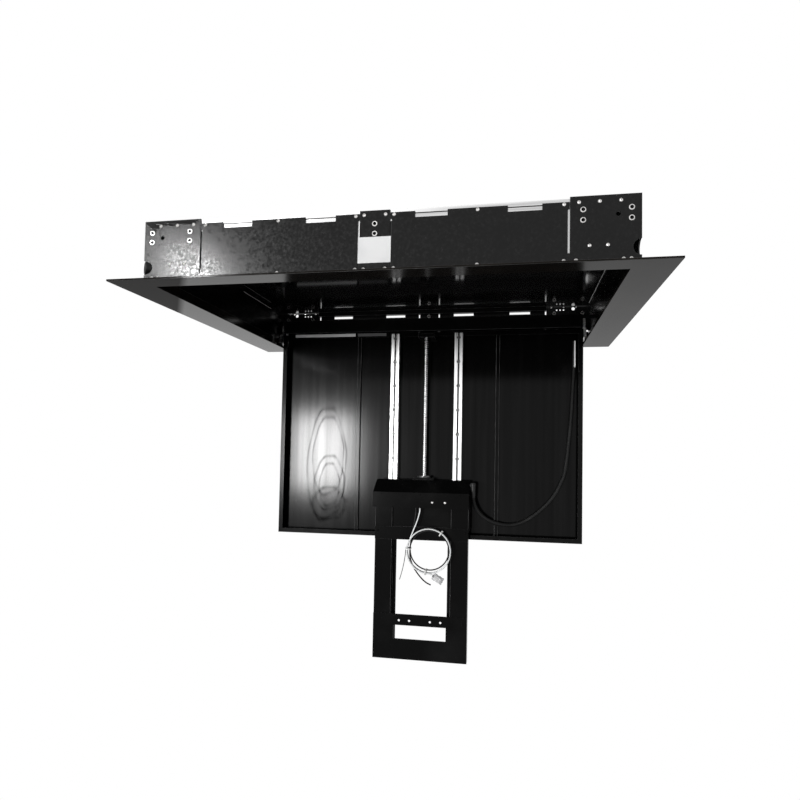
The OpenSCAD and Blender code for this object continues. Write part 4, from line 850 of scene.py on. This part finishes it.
def screw(bm, points):
    matrix, r, h, shank_r, length = turned_along_y(points)
    head = [(a * r, b * h) for a, b in SOCKET + SCREW_DOME]
    faces = spun(bm, head + [(shank_r, 0), (shank_r, -length), (0, -length)], SCREW_STEPS)
    for v in points_of(faces):
        reach = math.hypot(v.co.x, v.co.y)
        if STAR_FROM * r < reach < STAR_TO * r and v.co.z > STAR_FLOOR * h:
            lobe = 1 + STAR_DEEP * math.cos(STAR_POINTS * math.atan2(v.co.y, v.co.x))
            v.co.x, v.co.y = v.co.x * lobe, v.co.y * lobe
    moved(faces, matrix)
    return faces


bm = bmesh.new()
for points in fasteners["wall_screws"]:
    screw(bm, points)
piece("domed_wall_screws", bm, [zinc], "housing", "zinc", "wall_screws")

bm = bmesh.new()
for points in fasteners["carriage_screws"]:
    bright = abs(sum(p.z for p in points) / len(points) - BRIGHT_SCREW_Z) < MM
    for face in screw(bm, points):
        face.material_index = 0 if bright else 1
piece("carriage_screw_heads", bm, [zinc, coat], "carriage", "zinc", "carriage_screws")

# %% [markdown]
# ## Rivet nuts
# A rivet nut is a threaded sleeve that is squeezed into a hole of a thin sheet. Only its rim and its
# dark bore show. It is turned on the lathe as the screws are, with a wall across the bore's middle,
# so that no light comes through, and the bore takes a second, dark finish: a painted shade.

# %% Rivet nuts
NUT_BORE_R, BORE_EDGE, RIM_EDGE = 2.5 * MM, 0.3 * MM, 0.4 * MM
bm = bmesh.new()
for points in fasteners["rivet_nuts"]:
    matrix, r, t, body_r, length = turned_along_y(points)
    b, mouth = NUT_BORE_R, NUT_BORE_R + BORE_EDGE
    moved(spun(bm, [(mouth, t), (r - RIM_EDGE, t), (r, 0.5 * t), (r, 0), (body_r, 0), (body_r, -length),
                    (b, -length)], SCREW_STEPS), matrix)
    # The bore's dark finish is painted shade.
    dark = spun(bm, [(b, -length), (b, 0.5 * t), (mouth, t)], SCREW_STEPS)
    dark += spun(bm, [(0, -length / 2), (b, -length / 2)], SCREW_STEPS)
    for face in dark:
        face.material_index = 1
    moved(dark, matrix)
piece("rimmed_rivet_nuts", bm, [zinc, dark_plastic], "housing", "zinc", "rivet_nuts")

# %% [markdown]
# ## Lead screw
# The screw has two threads side by side, so it climbs 10 mm in a turn while its ridges are 5 mm
# apart. A long toothed line is spun once while it rises by that lead. Both ragged ends are cut
# off flat, and plain journals stand at the ends. The bottom of the thread takes a dark finish, a
# painted shade.

# %% Lead screw
SCREW_Y, SCREW_R, ROOT_R, JOURNAL_R = 227.5 * MM, 5 * MM, 4 * MM, 3.5 * MM
THREAD_LOW, THREAD_TOP, JOURNAL_LOW, JOURNAL_TOP = -361 * MM, 15 * MM, -373 * MM, 24 * MM
LEAD, PITCH, ROOT_SHADE_R = 10 * MM, 5 * MM, 4.3 * MM
RIDGE = [(ROOT_R, 0), (ROOT_R, 0.28), (SCREW_R, 0.42), (SCREW_R, 0.86)]
count = round((THREAD_TOP - THREAD_LOW + LEAD) / PITCH) + 1
line = [(r, THREAD_LOW - LEAD + (k + share) * PITCH) for k in range(count) for r, share in RIDGE]
bm = bmesh.new()
for face in spun(bm, line, SCREW_STEPS, rise=LEAD):
    # Faces near the root take the dark finish: painted shade in the thread's hollows.
    if math.hypot(*face.calc_center_median().xy) < ROOT_SHADE_R:
        face.material_index = 1
bmesh.ops.remove_doubles(bm, verts=bm.verts, dist=SOLID_MERGE)
for height, side in ((THREAD_LOW, -1), (THREAD_TOP, 1)):
    made = bmesh.ops.bisect_plane(bm, geom=bm.verts[:] + bm.edges[:] + bm.faces[:], dist=MERGE,
                                  plane_co=(0, 0, height), plane_no=(0, 0, side), clear_outer=True)
    rim = [e for e in made["geom_cut"] if isinstance(e, bmesh.types.BMEdge)]
    bmesh.ops.holes_fill(bm, edges=rim, sides=0)
for low, high in ((JOURNAL_LOW, THREAD_LOW), (THREAD_TOP, JOURNAL_TOP)):
    spun(bm, [(0, low), (JOURNAL_R, low), (JOURNAL_R, high), (0, high)], SCREW_STEPS)
moved(bm.faces, Matrix.Translation((0, SCREW_Y, 0)))
piece("two_start_screw", bm, [steel, dark_steel], "screw", "steel", "lead_screw")

# %% [markdown]
# ## Glands
# The conduit ends in a gland with a tapered sleeve and a lock ring, and a small block joins it to the
# hood. The two cables leave the hood through a soft block, whose place is read from the CAD model.
# Round things come from the lathe, and a block is a cube with bevelled edges.

# %% Glands
GLAND_STEPS, GLAND_TOP, GLAND_FOOT = 24, GLAND.z + 22 * MM, GLAND.z - 13 * MM
SLEEVE = [(3.3, 0), (5.2, -0.5), (5.5, -0.5), (6.5, 12), (6.5, 14), (5.9, 14.6), (5.9, 16), (6.5, 16.6),
          (6.5, 33), (5.6, 35), (0, 35)]
LOCK_RING = [(6.5, 28), (7.3, 28.5), (7.3, 31.5), (6.5, 32)]
FOOT_LONG, FOOT_HALF, FOOT_UP, FOOT_DOWN, FOOT_EDGE = 7.5 * MM, 3.2 * MM, 4 * MM, 2 * MM, 0.8 * MM
OUTLET_EDGE = 1.5 * MM


def block(bm, low, high, edge):
    """A box with rounded edges."""
    known = set(bm.faces)
    made = bmesh.ops.create_cube(bm, size=1)["verts"]
    low, high = Vector(low), Vector(high)
    for v in made:
        v.co = Vector(c * (b - a) + (a + b) / 2 for c, a, b in zip(v.co, low, high))
    edges = {e for v in made for e in v.link_edges}
    bmesh.ops.bevel(bm, geom=list(edges), offset=edge, offset_type="OFFSET", segments=3, profile=0.5,
                    affect="EDGES", material=-1)
    return new_faces(bm, known)


bm = bmesh.new()
for profile in (SLEEVE, LOCK_RING):
    moved(spun(bm, [(r * MM, h * MM) for r, h in profile], GLAND_STEPS),
          Matrix.Translation((GLAND.x, GLAND.y, GLAND_FOOT)))
block(bm, (GLAND.x - FOOT_LONG, GLAND.y - FOOT_HALF, GLAND.z + FOOT_UP),
      (GLAND.x, GLAND.y + FOOT_HALF, GLAND_TOP - FOOT_DOWN), FOOT_EDGE)
outlet = min(solids_of("cable_glands"), key=lambda points: min(p.z for p in points))
corners = list(zip(*outlet))
block(bm, [min(c) for c in corners], [max(c) for c in corners], OUTLET_EDGE)
piece("sleeved_glands", bm, [dark_plastic], "carriage", "dark_plastic", "cable_glands")

# %% [markdown]
# ## Cable ties
# Nylon ties hold the coils: each is a band round all the turns, with a small head, and the first one
# still has its long tail. A band starts as one flat face with rounded corners. An inset makes it a
# frame, and an extrusion gives it its width. The tail is a stretched cube with many cuts, bent
# outwards point by point. The ties are made at the coil's right side and then turned into place.

# %% Cable ties
TIE_ANGLES = (176, 56, 262)
BAND_W, BAND_T, BAND_CORNER, TIE_ROOM = 3.2 * MM, 0.9 * MM, 2.1 * MM, 0.4 * MM
HEAD_HALF, HEAD_DEEP, HEAD_SINK, HEAD_EDGE = 2.6 * MM, 2.3 * MM, 0.2 * MM, 0.6 * MM
TAIL_FROM, TAIL_TO, TAIL_CUTS = 2.2 * MM, 75 * MM, 11
TAIL_T, TAIL_OUT, TAIL_BEND = 1.2 * MM, 0.4 * MM, 9 * MM


def band(bm, low, high):
    """A flat band with round corners, outside a rectangle in X and Y."""
    known = set(bm.faces)
    verts = bmesh.ops.create_grid(bm, x_segments=1, y_segments=1, size=1)["verts"]
    for v in verts:
        v.co = ((high[0] + BAND_T) if v.co.x > 0 else (low[0] - BAND_T),
                (high[1] + BAND_T) if v.co.y > 0 else (low[1] - BAND_T), -BAND_W / 2)
    bmesh.ops.bevel(bm, geom=verts, offset=BAND_CORNER, offset_type="OFFSET", segments=4, profile=0.5,
                    affect="VERTICES", material=-1)
    inside = new_faces(bm, known)
    frame_faces = bmesh.ops.inset_region(bm, faces=inside, thickness=BAND_T, use_boundary=True,
                                         use_even_offset=True)["faces"]
    bmesh.ops.delete(bm, geom=inside, context="FACES_ONLY")
    made = bmesh.ops.extrude_face_region(bm, geom=frame_faces)["geom"]
    bmesh.ops.translate(bm, verts=[v for v in made if isinstance(v, bmesh.types.BMVert)], vec=(0, 0, BAND_W))
    return new_faces(bm, known)


def tie_tail(bm, out, middle):
    """A long strip that stands on a tie's head and bends outwards."""
    known = set(bm.faces)
    verts = bmesh.ops.create_cube(bm, size=1)["verts"]
    upright = {e for v in verts for e in v.link_edges if e.verts[0].co.z * e.verts[1].co.z < 0}
    bmesh.ops.subdivide_edges(bm, edges=list(upright), cuts=TAIL_CUTS, use_grid_fill=True)
    faces = new_faces(bm, known)
    for v in points_of(faces):
        along = v.co.z + 0.5
        v.co = (out + TAIL_OUT + TAIL_BEND * along ** 2 + TAIL_T * (v.co.x + 0.5), middle + BAND_W * v.co.y,
                TAIL_FROM + (TAIL_TO - TAIL_FROM) * along)
    for face in faces:
        face.material_index = 1
    return faces


bm = bmesh.new()
half = CABLE_D / 2 + TIE_ROOM
for number, angle in enumerate(TIE_ANGLES):
    last_pass = angle + 360 * math.floor((180 + 360 * PALE_TURNS - angle) / 360)
    low, high = (BLACK_R - half, coil_y(PALE_Y, last_pass) - half), (PALE_R + half, BLACK_Y + half)
    out, middle = high[0] + BAND_T, (low[1] + high[1]) / 2
    faces = band(bm, low, high)
    faces += block(bm, (out - HEAD_SINK, middle - HEAD_HALF, -HEAD_DEEP),
                   (out + HEAD_HALF, middle + HEAD_HALF, HEAD_DEEP), HEAD_EDGE)
    if number == 0:
        faces += tie_tail(bm, out, middle)
    turn = math.radians(angle)
    moved(faces, Matrix(((math.cos(turn), 0, -math.sin(turn), COIL_X), (0, 1, 0, 0),
                         (math.sin(turn), 0, math.cos(turn), COIL_Z), (0, 0, 0, 1))))
piece("nylon_ties", bm, [tie_nylon, dark_plastic], "carriage", "white_plastic", "cable_ties")

# %% [markdown]
# ## Plug and bag
# The pale cable ends in a small white plug with a latch and a dark neck, and the plug waits in a
# clear bag. The plug is two blocks and a turned neck. The bag is two sheets of film that meet at
# their edges, puffed up and creased by a few waves: a cloth simulation would be slow for so small
# a thing. Both hang at the cable's end.

# %% Plug and bag
PLUG = (5, -4.5, -5.5), (23, 4.5, 5.5), 0.8
LATCH = (9, -5, -2), (17, -4.4, 2), 0.3
NECK, NECK_STEPS = [(0, 0), (2.1, 0), (2.3, 1.5), (2.7, 4), (2.7, 5.4), (0, 5.4)], 16
PLUG_TURN = math.radians(30)
BAG_X, BAG_Z, BAG_PUFF, BAG_FROM = 13 * MM, 8.3 * MM, 6.2 * MM, 14 * MM
CREASE, RAGGED_X, RAGGED_Z = 0.2, 0.05, 0.06
plug_place = Matrix.Translation(pale_route[-1]) @ Matrix.Rotation(PLUG_TURN, 4, "Y")
bm = bmesh.new()
plug = []
for low, high, edge in (PLUG, LATCH):
    plug += block(bm, [c * MM for c in low], [c * MM for c in high], edge * MM)
neck = spun(bm, [(r * MM, h * MM) for r, h in NECK], NECK_STEPS)
moved(neck, Matrix.Rotation(math.radians(90), 4, "Y"))
for face in neck:
    face.material_index = 1
moved(plug + neck, plug_place)
connector = piece("plug_with_neck", bm, [white_plastic, dark_plastic], "carriage", "white_plastic",
                  "cable_connector")

bm = bmesh.new()
for side in (-1, 1):
    for v in bmesh.ops.create_grid(bm, x_segments=22, y_segments=16, size=1)["verts"]:
        x, z = v.co.x, v.co.y
        puff = (1 - x ** 4) * (1 - z ** 4)
        crease = CREASE * math.sin(7 * x + 4 * z + side) * math.sin(5 * z - 3 * x + 2 * side)
        v.co = (BAG_X * x * (1 + RAGGED_X * math.sin(9 * z + 2 * x)), side * BAG_PUFF * puff * (1 + crease),
                BAG_Z * z * (1 + RAGGED_Z * math.sin(8 * x)))
moved(bm.faces, plug_place @ Matrix.Translation((BAG_FROM, 0, 0)))
bag = piece("clear_bag", bm, [bag_film], "carriage", "white_plastic", sharp=180)

# %% [markdown]
# ## Grommet
# A cable can leave the housing at a corner, through a round notch that is half in the end plate and
# half in the side wall. A rubber grommet lines the notch at the front left, so that the sheet doesn't
# cut the cable, and the other notches stay open. It is a sleeve from the lathe, turned to look out of
# the corner.

# %% Grommet
GROMMET = [(5, -9), (10.2, -9), (10.8, -8.4), (11, -2.2), (11, 2.2), (10.2, 3), (8.6, 3), (8.2, 1.6),
           (6.6, 1.6), (6.2, 3), (5.4, 3), (5, 2.4)]
GROMMET_Z, GROMMET_SET, GROMMET_STEPS = 24 * MM, 3 * MM, 28
bm = bmesh.new()
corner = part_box("front_corner_left")[0]
outward = Vector((-1, -1, 0)).to_track_quat("Z", "Y").to_matrix().to_4x4()
faces = spun(bm, [(r * MM, h * MM) for r, h in GROMMET + GROMMET[:1]], GROMMET_STEPS)
moved(faces, Matrix.Translation((corner[0] + GROMMET_SET, corner[1] + GROMMET_SET, GROMMET_Z)) @ outward)
piece("corner_grommet", bm, [hose_rubber], "housing", "dark_plastic")
